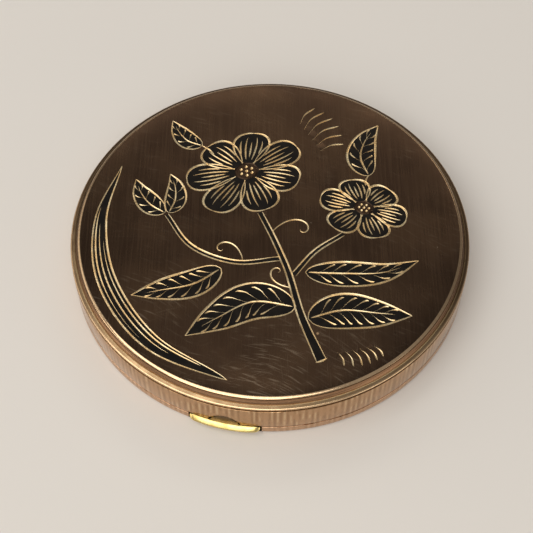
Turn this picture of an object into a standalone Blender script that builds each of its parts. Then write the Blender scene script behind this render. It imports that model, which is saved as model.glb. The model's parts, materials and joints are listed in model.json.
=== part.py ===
"""A round powder compact with a mirror in its lid, built as separate pieces.

Units are metres and +Z is up. The origin is the centre of the flat bottom. The thumb bar
faces -Y, and the main hinge is at the back, on +Y.
"""

import math

import bmesh
import bpy
from mathutils import Matrix, Vector

# The case: two drawn brass shells and the space left between pieces that touch
CASE_RADIUS = 0.0400
SHEET = 0.0005
SEAT_GAP = 0.0003
OVERRUN = 0.0010
BASE_HEIGHT = 0.0021
BASE_ROUND = 0.0007
ROUND_STEPS = 80
INNER_STEPS = 64
PUFF_STEPS = 40
SMALL_STEPS = 16
FINE_STEPS = 10

# The top of the lid, from its edge to the skirt
PLATE_RADIUS = 0.0379
DOME_RISE = 0.0002
RIM_ROUND = 0.0004
CHANNEL_DEPTH = 0.0009
BEAD_RADIUS = 0.00058
BEAD_DROP = 0.0014
GROOVE_DEPTH = 0.0004
GROOVE_HEIGHT = 0.0004

# The collar that the lid closes over, and the powder well that hangs in it
COLLAR_SHEET = 0.0005
WELL_SHEET = 0.0004
WELL_RADIUS = 0.0305
WELL_CORNER = 0.0008
LEDGE_WIDTH = 0.0017
POWDER_DEPTH = 0.0021
FLANGE_SETBACK = 0.0001

# The sifter, the puff and its ribbon
SIFTER_THICKNESS = 0.0005
SIFTER_FRAME_WIDTH = 0.0024
GAUZE_THICKNESS = 0.0002
PUFF_THICKNESS = 0.0018
PUFF_ROUND = 0.0008
PUFF_CLEARANCE = 0.0007
RIBBON_WIDTH = 0.0080
RIBBON_THICKNESS = 0.0002
PUFF_HEADROOM = 0.0004

# The inner lid and its hinge
INNER_LID_RADIUS = 0.0343
INNER_LID_SHEET = 0.0004
INNER_TAB_WIDTH = 0.0100
INNER_TAB_LENGTH = 0.0042
INNER_TAB_REACH = 0.0004
INNER_HINGE_Y = 0.0332
INNER_KNUCKLE_RADIUS = 0.0006
INNER_KNUCKLE_WIDTH = 0.0018
INNER_BORE_RADIUS = 0.0004
INNER_PIN_RADIUS = 0.0002
INNER_SPRING_WIDTH = 0.0040
INNER_SPRING_RADIUS = 0.00055
INNER_SPRING_WIRE = 0.00009
INNER_SPRING_TURNS = 5
BRACKET_LENGTH = 0.0036
BRACKET_SHEET = 0.0003

# The mirror and what holds it
MIRROR_RADIUS = 0.0364
MIRROR_THICKNESS = 0.0009
MIRROR_CLEARANCE = 0.0004
CARD_THICKNESS = 0.0003
STACK_GAP = 0.0002
BEZEL_SHEET = 0.0003
BEZEL_OVERLAP = 0.0015
BEZEL_REACH = 0.0021
BEZEL_UPSTAND = 0.00045

# The main hinge
KNUCKLE_RADIUS = 0.0011
KNUCKLE_WIDTH = 0.0034
KNUCKLE_COUNT = 5
BORE_RADIUS = 0.00075
PIN_RADIUS = 0.0005
LEAF_SHEET = 0.0004
TAB_INSET = 0.0001
LID_LEAF_HEIGHT = 0.0030
BASE_LEAF_FOOT = 0.0003

# The thumb bar, its ear and the notch that it stands in
BAR_HALF_ANGLE = math.radians(9.8)
BAR_DEPTH = 0.00145
BAR_PROUD = 0.00105
BAR_LIFT = 0.0003
BAR_ROUND = 0.00035
EAR_WIDTH = 0.0058
EAR_HEIGHT = 0.0023
EAR_THICKNESS = 0.0005
ARCH_FULLNESS_SHARE = 0.8
LATCH_TRAVEL = 0.0008

# The slide behind the bar, its guide and its spring
SLIDE_WIDTH = 0.0080
SLIDE_LENGTH = 0.0068
SLIDE_SHEET = 0.0005
NOSE_WIDTH = 0.0050
NOSE_REACH = 0.0005
NOSE_SHEET = 0.0004
KEEPER_RISE = 0.0004
KEEPER_SHEET = 0.0004
KEEPER_REACH = 0.0008
KEEPER_WIDTH = 0.0058
KEEPER_BACK = 0.0010
GUIDE_SHEET = 0.0004
GUIDE_LENGTH = 0.0036
GUIDE_FOOT = 0.0024
GUIDE_SEAT_HEIGHT = 0.0024
GUIDE_SEAT_WIDTH = 0.0034
RIVET_RADIUS = 0.0004
RIVET_HEAD_RADIUS = 0.0009
RIVET_HEAD_HEIGHT = 0.0004
RIVET_CROWN_SHARE = 0.9
SPRING_RADIUS = 0.0009
SPRING_WIRE = 0.00015
SPRING_TURNS = 4

# Heights of the base and what lies in it, from the floor up
floor_top = SHEET
well_bottom = floor_top + SEAT_GAP
well_floor_top = well_bottom + WELL_SHEET
ledge_top = well_floor_top + POWDER_DEPTH
sifter_bottom = ledge_top + SEAT_GAP
sifter_top = sifter_bottom + SIFTER_THICKNESS
puff_bottom = sifter_top + SEAT_GAP
puff_top = puff_bottom + PUFF_THICKNESS
ribbon_bottom = puff_top + STACK_GAP
ribbon_top = ribbon_bottom + RIBBON_THICKNESS
inner_lid_bottom = ribbon_top + PUFF_HEADROOM
inner_lid_top = inner_lid_bottom + INNER_LID_SHEET
flange_top = inner_lid_bottom - SEAT_GAP
flange_bottom = flange_top - WELL_SHEET
collar_bottom = floor_top + SEAT_GAP
collar_top = flange_bottom - SEAT_GAP
inner_hinge_z = inner_lid_bottom + INNER_KNUCKLE_RADIUS

# Heights of the lid and what it holds
skirt_bottom = BASE_HEIGHT + SEAT_GAP
mirror_bottom = inner_hinge_z + INNER_KNUCKLE_RADIUS + MIRROR_CLEARANCE
mirror_top = mirror_bottom + MIRROR_THICKNESS
card_bottom = mirror_top + STACK_GAP
card_top = card_bottom + CARD_THICKNESS
bezel_top = mirror_bottom - STACK_GAP
bezel_bottom = bezel_top - BEZEL_SHEET
plate_bottom = card_top + STACK_GAP
plate_top = plate_bottom + SHEET
bead_z = plate_top - BEAD_DROP
groove_z = bead_z - BEAD_RADIUS

# Radii of the shells and the collar
shell_inner = CASE_RADIUS - SHEET
collar_outer = shell_inner - SEAT_GAP
collar_inner = collar_outer - COLLAR_SHEET
flange_outer = collar_outer - FLANGE_SETBACK

# The main hinge lies just outside the case, at the parting line
hinge_y = CASE_RADIUS + SEAT_GAP + KNUCKLE_RADIUS
hinge_z = BASE_HEIGHT + SEAT_GAP / 2
leaf_inner = CASE_RADIUS + SEAT_GAP
leaf_outer = leaf_inner + LEAF_SHEET
hinge_width = KNUCKLE_COUNT * KNUCKLE_WIDTH + (KNUCKLE_COUNT - 1) * SEAT_GAP
leaf_half_angle = math.asin(hinge_width / 2 / leaf_outer)
knuckle_clear = KNUCKLE_RADIUS + SEAT_GAP
leaf_stand_off = math.sqrt(knuckle_clear ** 2 - (hinge_y - leaf_outer) ** 2)

# The bar stands in a notch of the base, with its top just over the parting line
bar_bottom = floor_top + SEAT_GAP
bar_top = BASE_HEIGHT + BAR_LIFT
bar_outer = CASE_RADIUS + BAR_PROUD
bar_inner = bar_outer - BAR_DEPTH
relief_top = bar_top + SEAT_GAP
notch_half_angle = BAR_HALF_ANGLE + SEAT_GAP / CASE_RADIUS
ear_top = bar_top + EAR_HEIGHT
arch_top = ear_top + SEAT_GAP
arch_width = EAR_WIDTH + 2 * SEAT_GAP
keeper_bottom = arch_top + KEEPER_RISE
keeper_top = keeper_bottom + KEEPER_SHEET
keeper_inner = shell_inner - SEAT_GAP - KEEPER_REACH
nose_bottom = keeper_top + SEAT_GAP
nose_top = nose_bottom + NOSE_SHEET
nose_tip = keeper_inner - SEAT_GAP
upright_front = nose_tip - NOSE_REACH
upright_back = upright_front - SLIDE_SHEET
window_width = max(KEEPER_WIDTH, NOSE_WIDTH, EAR_WIDTH) + 2 * SEAT_GAP
slot_back = upright_back - LATCH_TRAVEL - SEAT_GAP

# The slide and its guide, from the upright inward
slide_bottom = floor_top + SEAT_GAP
slide_top = slide_bottom + SLIDE_SHEET
slide_front = bar_inner - SEAT_GAP
slide_back = slide_front - SLIDE_LENGTH
guide_bottom = slide_top + SEAT_GAP
guide_top = guide_bottom + GUIDE_SHEET
guide_front = slot_back
guide_back = guide_front - GUIDE_LENGTH
guide_inner = SLIDE_WIDTH / 2 + SEAT_GAP
guide_outer = guide_inner + GUIDE_SHEET
guide_seat_top = guide_top + GUIDE_SEAT_HEIGHT
spring_z = guide_top + STACK_GAP + SPRING_RADIUS + SPRING_WIRE

# The well, and what lies in it
well_outer = WELL_RADIUS + WELL_SHEET
sump_radius = WELL_RADIUS - LEDGE_WIDTH
sifter_outer = WELL_RADIUS - SEAT_GAP
sifter_inner = sifter_outer - SIFTER_FRAME_WIDTH
puff_radius = WELL_RADIUS - PUFF_CLEARANCE

# The bezel overlaps the mirror's edge and reaches into the lid's corner
bezel_inner = MIRROR_RADIUS - BEZEL_OVERLAP
bezel_outer = MIRROR_RADIUS + BEZEL_REACH

# Colours are sRGB hex values read by eye, with roughness and metallic values beside them
BRONZE_LID = ("3B2C22", 0.42, 1.0)
POLISHED_GOLD = ("B08A63", 0.22, 1.0)
YELLOW_BRASS = ("E3C04F", 0.20, 1.0)
INNER_GOLD = ("C9A566", 0.30, 1.0)
SPRING_STEEL = ("9A9A9E", 0.35, 1.0)
MIRROR_SILVER = ("E8ECEE", 0.03, 1.0)
GREY_CARD = ("8C857A", 0.90, 0.0)
SIFTER_FRAME = ("D9C8A0", 0.45, 0.0)
GAUZE = ("E9DCCB", 0.80, 0.0)
PUFF_VELOUR = ("E6C3B4", 0.95, 0.0)
RIBBON_SATIN = ("D79C94", 0.50, 0.0)


def clear_scene():
    for obj in list(bpy.data.objects):
        bpy.data.objects.remove(obj, do_unlink=True)


def new_collection(name):
    collection = bpy.data.collections.new(name)
    bpy.context.scene.collection.children.link(collection)
    return collection


def linear(channel):
    """One sRGB channel between 0 and 1, turned to the linear value that a shader takes."""
    if channel <= 0.04045:
        return channel / 12.92
    return ((channel + 0.055) / 1.055) ** 2.4


def coat(obj, finish):
    """Gives an object its own Principled material from a finish: colour, roughness, metallic."""
    colour, roughness, metallic = finish
    channels = [linear(int(colour[i:i + 2], 16) / 255) for i in (0, 2, 4)]
    material = bpy.data.materials.new(obj.name + "_finish")
    material.use_nodes = True
    shader = material.node_tree.nodes["Principled BSDF"]
    shader.inputs["Base Color"].default_value = (*channels, 1.0)
    shader.inputs["Roughness"].default_value = roughness
    shader.inputs["Metallic"].default_value = metallic
    obj.data.materials.clear()
    obj.data.materials.append(material)


def polish(obj):
    """Smooth shading, but for edges as sharp as a folded sheet's."""
    obj.data.shade_smooth()
    obj.data.set_sharp_from_angle(angle=math.radians(35))


def as_object(name, mesh, collection, parent=None, place=None):
    obj = bpy.data.objects.new(name, mesh)
    collection.objects.link(obj)
    if parent is not None:
        obj.parent = parent
        obj.matrix_parent_inverse = Matrix.Translation(parent.location).inverted()
    if place is not None:
        obj.location = place
    return obj


def turned(name, profile, collection, parent=None, steps=ROUND_STEPS):
    """Spins a profile of (radius, height) points about Z.

    A profile whose ends lie on the axis is left open there, and any other one is closed.
    """
    mesh = bpy.data.meshes.new(name)
    points = [(radius, 0, height) for radius, height in profile]
    edges = [(i, i + 1) for i in range(len(points) - 1)]
    if profile[0][0] > 0:
        edges.append((len(points) - 1, 0))
    mesh.from_pydata(points, edges, [])
    line = as_object(name + "_profile", mesh, bpy.context.scene.collection)
    screw = line.modifiers.new("turn", "SCREW")
    screw.steps = steps
    screw.render_steps = steps
    screw.use_merge_vertices = True
    screw.merge_threshold = 0.00001
    bpy.context.view_layer.update()
    depsgraph = bpy.context.evaluated_depsgraph_get()
    turned_mesh = bpy.data.meshes.new_from_object(line.evaluated_get(depsgraph))
    turned_mesh.name = name
    bpy.data.objects.remove(line, do_unlink=True)
    obj = as_object(name, turned_mesh, collection, parent)
    polish(obj)
    return obj


def ring(name, inner, outer, bottom, top, collection, parent=None, steps=ROUND_STEPS):
    """A plain turned ring of rectangular section."""
    profile = [(outer, top), (outer, bottom), (inner, bottom), (inner, top)]
    return turned(name, profile, collection, parent, steps)


def disc(name, radius, bottom, top, collection, parent=None, steps=ROUND_STEPS):
    profile = [(0, top), (radius, top), (radius, bottom), (0, bottom)]
    return turned(name, profile, collection, parent, steps)


def block(name, low, high, collection, parent=None):
    """A box from its lowest to its highest corner."""
    low, high = Vector(low), Vector(high)
    form = bmesh.new()
    bmesh.ops.create_cube(form, size=1)
    bmesh.ops.scale(form, vec=high - low, verts=form.verts)
    bmesh.ops.translate(form, vec=(low + high) / 2, verts=form.verts)
    mesh = bpy.data.meshes.new(name)
    form.to_mesh(mesh)
    form.free()
    return as_object(name, mesh, collection, parent)


def cylinder_along_x(name, radius, length, centre, collection, parent=None, segments=SMALL_STEPS):
    form = bmesh.new()
    bmesh.ops.create_cone(
        form, cap_ends=True, segments=segments, radius1=radius, radius2=radius, depth=length
    )
    bmesh.ops.rotate(form, verts=form.verts, matrix=Matrix.Rotation(math.pi / segments, 3, "Z"))
    bmesh.ops.rotate(form, verts=form.verts, matrix=Matrix.Rotation(math.pi / 2, 3, "Y"))
    bmesh.ops.translate(form, vec=centre, verts=form.verts)
    mesh = bpy.data.meshes.new(name)
    form.to_mesh(mesh)
    form.free()
    return as_object(name, mesh, collection, parent)


def mesh_from_curve(name, curve, turn, place, collection, parent):
    """Makes a closed mesh object of a curve, turned and moved to its place."""
    shape = bpy.data.objects.new(name + "_outline", curve)
    bpy.context.scene.collection.objects.link(shape)
    bpy.context.view_layer.update()
    mesh = bpy.data.meshes.new_from_object(shape.evaluated_get(bpy.context.evaluated_depsgraph_get()))
    mesh.name = name
    form = bmesh.new()
    form.from_mesh(mesh)
    bmesh.ops.remove_doubles(form, verts=form.verts, dist=0.000001)
    bmesh.ops.dissolve_limit(form, angle_limit=math.radians(0.1), verts=form.verts, edges=form.edges)
    bmesh.ops.transform(form, matrix=Matrix.Translation(place) @ turn, verts=form.verts)
    bmesh.ops.recalc_face_normals(form, faces=form.faces)
    form.to_mesh(mesh)
    form.free()
    bpy.data.objects.remove(shape, do_unlink=True)
    return as_object(name, mesh, collection, parent)


def flat_outline(name, outline, thickness, turn, place, collection, parent=None):
    """A flat outline with thickness. Its middle plane lies at the place given."""
    curve = bpy.data.curves.new(name + "_outline", "CURVE")
    curve.dimensions = "2D"
    curve.fill_mode = "BOTH"
    curve.extrude = thickness / 2
    spline = curve.splines.new("POLY")
    spline.points.add(len(outline) - 1)
    for point, (x, y) in zip(spline.points, outline):
        point.co = (x, y, 0, 1)
    spline.use_cyclic_u = True
    return mesh_from_curve(name, curve, turn, place, collection, parent)


def arc(radius, start, end, count):
    """Points along an arc about the origin, in plan."""
    angles = [start + (end - start) * i / (count - 1) for i in range(count)]
    return [(radius * math.cos(angle), radius * math.sin(angle)) for angle in angles]


def sector(name, inner, outer, bottom, top, middle, half_angle, collection, parent=None, count=17):
    """A stretch of a ring about Z, as the thumb bar and the hinge leaves are."""
    outline = arc(outer, middle - half_angle, middle + half_angle, count)
    outline += arc(inner, middle + half_angle, middle - half_angle, count)
    centre = Vector((0, 0, (bottom + top) / 2))
    return flat_outline(name, outline, top - bottom, Matrix.Identity(4), centre, collection, parent)


def coil(name, points, wire, collection, parent=None):
    """A round wire along a list of points, with closed ends."""
    curve = bpy.data.curves.new(name + "_wire", "CURVE")
    curve.dimensions = "3D"
    curve.bevel_depth = wire
    curve.bevel_resolution = 1
    curve.use_fill_caps = True
    spline = curve.splines.new("POLY")
    spline.points.add(len(points) - 1)
    for place, point in zip(spline.points, points):
        place.co = (*point, 1)
    return mesh_from_curve(name, curve, Matrix.Identity(4), Vector(), collection, parent)


def helix(start, end, radius, wire, turns, per_turn=8):
    """Points of a coil about the line from start to end, with a short straight run at each end."""
    start, end = Vector(start), Vector(end)
    along = (end - start).normalized()
    across = along.orthogonal().normalized()
    other = along.cross(across)
    lead = 2 * wire
    first = start + along * lead
    length = (end - start).length - 2 * lead
    count = turns * per_turn
    points = [start + across * radius]
    for i in range(count + 1):
        angle = 2 * math.pi * i / per_turn
        points.append(
            first
            + along * (length * i / count)
            + (across * math.cos(angle) + other * math.sin(angle)) * radius
        )
    points.append(end + across * radius)
    half = per_turn // 2
    spaced = [(points[i] - points[j]).length for i in range(len(points)) for j in range(i - half)]
    print(f"coil of {turns} turns: least gap between turns {(min(spaced) - 2 * wire) * 1000:.2f} mm")
    return points


def combine(obj, tool, operation):
    """Joins a tool to an object or cuts it away. The tool stays in the file as a guide."""
    tool.hide_render = True
    tool.display_type = "WIRE"
    modifier = obj.modifiers.new(operation.lower() + " " + tool.name, "BOOLEAN")
    modifier.operation = operation
    modifier.solver = "EXACT"
    modifier.object = tool


def bevel(obj, width, angle=math.radians(50), segments=2):
    modifier = obj.modifiers.new("rounded edges", "BEVEL")
    modifier.width = width
    modifier.segments = segments
    modifier.limit_method = "ANGLE"
    modifier.angle_limit = angle


def rounded_corner(centre_r, centre_z, radius, start, end, count):
    """Points of a rounded corner in a turned profile, angles in degrees from +R toward +Z."""
    angles = [math.radians(start + (end - start) * i / (count - 1)) for i in range(count)]
    return [(centre_r + radius * math.cos(a), centre_z + radius * math.sin(a)) for a in angles]


def dome_point(radius, edge_height, rise):
    """A point of the lid's faint dome, level at its middle and lowest at the plate's edge."""
    return radius, edge_height + rise * (1 - (radius / PLATE_RADIUS) ** 2)


def arch_outline(width, spring_height, top_height, count=9):
    """The outline of the arch over the thumb bar: a hump that flares at its foot."""
    half = width / 2
    outline = []
    for i in range(count):
        across = -half + width * i / (count - 1)
        rise = math.cos(math.pi * across / width) ** ARCH_FULLNESS_SHARE if 0 < i < count - 1 else 0
        outline.append((across, spring_height + (top_height - spring_height) * rise))
    return outline


def make_lid_shell(parts, cutters, lid):
    dome_radii_shares = (0, 0.35, 0.65, 0.88, 1)
    outside = [dome_point(PLATE_RADIUS * share, plate_top, DOME_RISE) for share in dome_radii_shares]
    rim_r = PLATE_RADIUS
    outside += rounded_corner(rim_r, plate_top - RIM_ROUND, RIM_ROUND, 70, 0, 4)
    channel_z = plate_top - CHANNEL_DEPTH
    bead_r = CASE_RADIUS - BEAD_RADIUS
    outside.append((rim_r + RIM_ROUND, channel_z))
    outside += rounded_corner(bead_r, bead_z, BEAD_RADIUS, 140, -40, 8)
    groove_r = CASE_RADIUS - GROOVE_DEPTH
    outside.append((groove_r, groove_z - GROOVE_HEIGHT / 4))
    outside.append((groove_r, groove_z - GROOVE_HEIGHT / 2))
    outside.append((CASE_RADIUS, groove_z - GROOVE_HEIGHT))
    edge_round = SHEET / 4
    outside.append((CASE_RADIUS, skirt_bottom + edge_round))
    outside.append((CASE_RADIUS - edge_round, skirt_bottom))
    inside = [
        (shell_inner, skirt_bottom),
        (shell_inner, groove_z - GROOVE_HEIGHT - SHEET),
        (groove_r - SHEET, groove_z),
        (groove_r - SHEET, channel_z - SHEET),
        (rim_r + RIM_ROUND - SHEET, channel_z - SHEET),
        (rim_r + RIM_ROUND - SHEET, plate_bottom - RIM_ROUND),
        (rim_r - RIM_ROUND, plate_bottom),
        (0, plate_bottom + DOME_RISE),
    ]
    shell = turned("lid_shell", outside + inside, parts, lid)
    relief = sector(
        "latch_relief_cutter", shell_inner - OVERRUN, CASE_RADIUS + OVERRUN,
        skirt_bottom - OVERRUN, relief_top, -math.pi / 2, notch_half_angle, cutters,
    )
    combine(shell, relief, "DIFFERENCE")
    foot = bar_top - SEAT_GAP
    outline = arch_outline(arch_width, relief_top, arch_top)
    outline += [(arch_width / 2, foot), (-arch_width / 2, foot)]
    upright = Matrix.Rotation(math.pi / 2, 4, "X")
    depth = SHEET + 2 * OVERRUN
    middle = Vector((0, -(CASE_RADIUS + shell_inner) / 2, 0))
    arch = flat_outline("latch_arch_cutter", outline, depth, upright, middle, cutters)
    combine(shell, arch, "DIFFERENCE")
    coat(shell, BRONZE_LID)
    return shell


def make_base_shell(parts, cutters):
    outside = [(CASE_RADIUS, BASE_HEIGHT)]
    outside += rounded_corner(CASE_RADIUS - BASE_ROUND, BASE_ROUND, BASE_ROUND, 0, -90, 5)
    profile = [(0, floor_top), (shell_inner, floor_top), (shell_inner, BASE_HEIGHT)] + outside + [(0, 0)]
    shell = turned("base_shell", profile, parts)
    notch = sector(
        "base_notch_cutter", shell_inner - OVERRUN, CASE_RADIUS + OVERRUN,
        floor_top, BASE_HEIGHT + OVERRUN, -math.pi / 2, notch_half_angle, cutters,
    )
    combine(shell, notch, "DIFFERENCE")
    coat(shell, POLISHED_GOLD)
    return shell


def make_inner_collar(parts, cutters):
    collar = ring("inner_collar", collar_inner, collar_outer, collar_bottom, collar_top, parts)
    window = sector(
        "collar_window_cutter", collar_inner - OVERRUN, collar_outer + OVERRUN,
        collar_bottom - OVERRUN, relief_top, -math.pi / 2, notch_half_angle, cutters,
    )
    combine(collar, window, "DIFFERENCE")
    slot = block(
        "collar_slot_cutter",
        (-window_width / 2, -collar_outer - OVERRUN, collar_bottom - OVERRUN),
        (window_width / 2, -collar_inner + OVERRUN, collar_top + OVERRUN), cutters,
    )
    combine(collar, slot, "DIFFERENCE")
    coat(collar, INNER_GOLD)
    return collar


def make_powder_well(parts, cutters):
    sump_outer = sump_radius + WELL_SHEET
    profile = [
        (0, well_floor_top),
        (sump_radius - WELL_CORNER, well_floor_top),
        (sump_radius, well_floor_top + WELL_CORNER),
        (sump_radius, ledge_top),
        (WELL_RADIUS, ledge_top),
        (WELL_RADIUS, flange_top),
        (flange_outer, flange_top),
        (flange_outer, flange_bottom),
        (well_outer, flange_bottom),
        (well_outer, ledge_top - WELL_SHEET),
        (sump_outer, ledge_top - WELL_SHEET),
        (sump_outer, well_bottom + WELL_CORNER),
        (sump_outer - WELL_CORNER, well_bottom),
        (0, well_bottom),
    ]
    well = turned("powder_well", profile, parts, steps=INNER_STEPS)
    slot = block(
        "flange_slot_cutter",
        (-window_width / 2, -flange_outer - OVERRUN, flange_bottom - OVERRUN),
        (window_width / 2, -slot_back, flange_top + OVERRUN), cutters,
    )
    combine(well, slot, "DIFFERENCE")
    coat(well, INNER_GOLD)
    return well


def make_sifter(parts):
    frame = ring(
        "sifter_ring", sifter_inner, sifter_outer, sifter_bottom, sifter_top, parts, steps=INNER_STEPS
    )
    coat(frame, SIFTER_FRAME)
    middle = (sifter_bottom + sifter_top) / 2
    gauze = disc(
        "sifter_gauze", sifter_inner - SEAT_GAP, middle - GAUZE_THICKNESS / 2,
        middle + GAUZE_THICKNESS / 2, parts, steps=INNER_STEPS,
    )
    coat(gauze, GAUZE)


def make_puff(parts):
    """A velour puff: a slightly crowned disc with full, rounded sides."""
    crown = PUFF_THICKNESS / 8
    side = PUFF_THICKNESS - crown
    middle = puff_bottom + side / 2
    rounding = min(PUFF_ROUND, side / 2)
    profile = [(0, puff_top), (puff_radius / 2, puff_top - crown / 4)]
    profile += rounded_corner(puff_radius - rounding, middle + side / 2 - rounding, rounding, 80, 0, 4)
    profile += rounded_corner(puff_radius - rounding, puff_bottom + rounding, rounding, 0, -90, 4)
    profile.append((0, puff_bottom))
    puff = turned("powder_puff", profile, parts, steps=PUFF_STEPS)
    coat(puff, PUFF_VELOUR)
    half_length = math.sqrt((puff_radius - rounding) ** 2 - (RIBBON_WIDTH / 2) ** 2)
    ribbon = block(
        "puff_ribbon", (-half_length, -RIBBON_WIDTH / 2, ribbon_bottom),
        (half_length, RIBBON_WIDTH / 2, ribbon_top), parts,
    )
    coat(ribbon, RIBBON_SATIN)


def inner_knuckle_centres():
    """Middles, along X, of the inner hinge's fixed outer and moving inner knuckles on one side."""
    moving = INNER_SPRING_WIDTH / 2 + INNER_KNUCKLE_WIDTH / 2
    fixed = moving + INNER_KNUCKLE_WIDTH + SEAT_GAP
    return fixed, moving


def add_knuckle(obj, label, centre_x, width, radius, y, z, low, high, cutters, parent=None, trim=None):
    """Joins a knuckle, and the tab that runs from it into its leaf, to a leaf.

    A trim, where there is one, takes off the end of the tab that would pass through the leaf.
    """
    centre = Vector((centre_x, y, z))
    barrel = cylinder_along_x(label + "_barrel", radius, width, centre, cutters, parent)
    combine(obj, barrel, "UNION")
    half = width / 2 - TAB_INSET
    tab = block(
        label + "_tab", (centre_x - half, low[0], low[1]), (centre_x + half, high[0], high[1]),
        cutters, parent,
    )
    if trim is not None:
        combine(tab, trim, "DIFFERENCE")
    combine(obj, tab, "UNION")


def make_inner_lid(parts, cutters, inner_lid):
    fixed, moving = inner_knuckle_centres()
    fixed_edge = fixed + INNER_KNUCKLE_WIDTH / 2
    trim_y = INNER_HINGE_Y - INNER_KNUCKLE_RADIUS - SEAT_GAP
    arm_reach = math.sqrt(INNER_LID_RADIUS ** 2 - (moving + INNER_KNUCKLE_WIDTH / 2) ** 2)
    arm_root = min(trim_y, arm_reach) - INNER_KNUCKLE_RADIUS
    plate = disc(
        "inner_lid_plate", INNER_LID_RADIUS, inner_lid_bottom, inner_lid_top, parts, inner_lid, INNER_STEPS
    )
    trim = block(
        "inner_lid_trim_cutter",
        (-fixed_edge - SEAT_GAP, trim_y, inner_lid_bottom - OVERRUN),
        (fixed_edge + SEAT_GAP, INNER_LID_RADIUS + OVERRUN, inner_lid_top + OVERRUN), cutters, inner_lid,
    )
    combine(plate, trim, "DIFFERENCE")
    for side, label in ((-1, "left"), (1, "right")):
        add_knuckle(
            plate, "inner_lid_" + label, side * moving, INNER_KNUCKLE_WIDTH, INNER_KNUCKLE_RADIUS,
            INNER_HINGE_Y, inner_hinge_z, (arm_root, inner_lid_bottom),
            (INNER_HINGE_Y, inner_lid_top), cutters, inner_lid,
        )
    bore_length = 2 * fixed_edge + 2 * OVERRUN
    centre = Vector((0, INNER_HINGE_Y, inner_hinge_z))
    bore = cylinder_along_x(
        "inner_bore_cutter", INNER_BORE_RADIUS, bore_length, centre, cutters, None, FINE_STEPS
    )
    combine(plate, bore, "DIFFERENCE")
    coat(plate, INNER_GOLD)

    tab_back = -(INNER_LID_RADIUS + INNER_TAB_REACH - INNER_TAB_LENGTH)
    tab_front = -(INNER_LID_RADIUS + INNER_TAB_REACH)
    tab_bottom = inner_lid_top + STACK_GAP
    tab = block(
        "inner_lid_tab", (-INNER_TAB_WIDTH / 2, tab_front, tab_bottom),
        (INNER_TAB_WIDTH / 2, tab_back, tab_bottom + BRACKET_SHEET), parts, inner_lid,
    )
    bevel(tab, BRACKET_SHEET / 3)
    coat(tab, YELLOW_BRASS)

    bracket_back = INNER_HINGE_Y + BRACKET_LENGTH
    bracket_front = INNER_HINGE_Y + INNER_KNUCKLE_RADIUS + SEAT_GAP
    bracket_top = inner_lid_bottom + BRACKET_SHEET
    bracket = block(
        "inner_hinge_bracket", (-fixed_edge, bracket_front, inner_lid_bottom),
        (fixed_edge, bracket_back, bracket_top), parts,
    )
    for side, label in ((-1, "left"), (1, "right")):
        add_knuckle(
            bracket, "bracket_" + label, side * fixed, INNER_KNUCKLE_WIDTH, INNER_KNUCKLE_RADIUS,
            INNER_HINGE_Y, inner_hinge_z, (INNER_HINGE_Y, inner_lid_bottom),
            (bracket_front + INNER_KNUCKLE_RADIUS, bracket_top), cutters,
        )
    combine(bracket, bore, "DIFFERENCE")
    coat(bracket, INNER_GOLD)

    pin = cylinder_along_x(
        "inner_hinge_pin", INNER_PIN_RADIUS, 2 * fixed_edge, centre, parts, None, FINE_STEPS
    )
    polish(pin)
    coat(pin, SPRING_STEEL)
    spring_half = INNER_SPRING_WIDTH / 2 - SEAT_GAP
    points = helix(
        centre - Vector((spring_half, 0, 0)), centre + Vector((spring_half, 0, 0)),
        INNER_SPRING_RADIUS - INNER_SPRING_WIRE, INNER_SPRING_WIRE, INNER_SPRING_TURNS,
    )
    spring = coil("inner_lid_spring", points, INNER_SPRING_WIRE, parts)
    polish(spring)
    coat(spring, SPRING_STEEL)


def make_mirror(parts, lid):
    card = disc("mirror_backing_card", MIRROR_RADIUS, card_bottom, card_top, parts, lid, INNER_STEPS)
    coat(card, GREY_CARD)
    mirror = disc("mirror_glass", MIRROR_RADIUS, mirror_bottom, mirror_top, parts, lid, INNER_STEPS)
    coat(mirror, MIRROR_SILVER)
    upstand_inner = bezel_outer - BEZEL_SHEET
    lip_round = BEZEL_SHEET / 3
    profile = [
        (bezel_outer, bezel_top + BEZEL_UPSTAND),
        (bezel_outer, bezel_bottom),
        (bezel_inner + lip_round, bezel_bottom),
        (bezel_inner, bezel_bottom + lip_round),
        (bezel_inner, bezel_top),
        (upstand_inner, bezel_top),
        (upstand_inner, bezel_top + BEZEL_UPSTAND),
    ]
    bezel = turned("mirror_bezel", profile, parts, lid, INNER_STEPS)
    coat(bezel, POLISHED_GOLD)


def hinge_leaf(name, bottom, top, tab_bottom, tab_top, knuckles, trim, parts, cutters, parent=None):
    """A curved leaf on the outside of a shell, with its knuckles."""
    leaf = sector(name, leaf_inner, leaf_outer, bottom, top, math.pi / 2, leaf_half_angle, parts, parent)
    pitch = KNUCKLE_WIDTH + SEAT_GAP
    for index in knuckles:
        centre_x = (index - (KNUCKLE_COUNT - 1) / 2) * pitch
        reach = math.sqrt(leaf_inner ** 2 - (abs(centre_x) + KNUCKLE_WIDTH / 2) ** 2)
        add_knuckle(
            leaf, f"{name}_{index}", centre_x, KNUCKLE_WIDTH, KNUCKLE_RADIUS, hinge_y, hinge_z,
            (reach, tab_bottom), (hinge_y, tab_top), cutters, parent, trim,
        )
    return leaf


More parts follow.
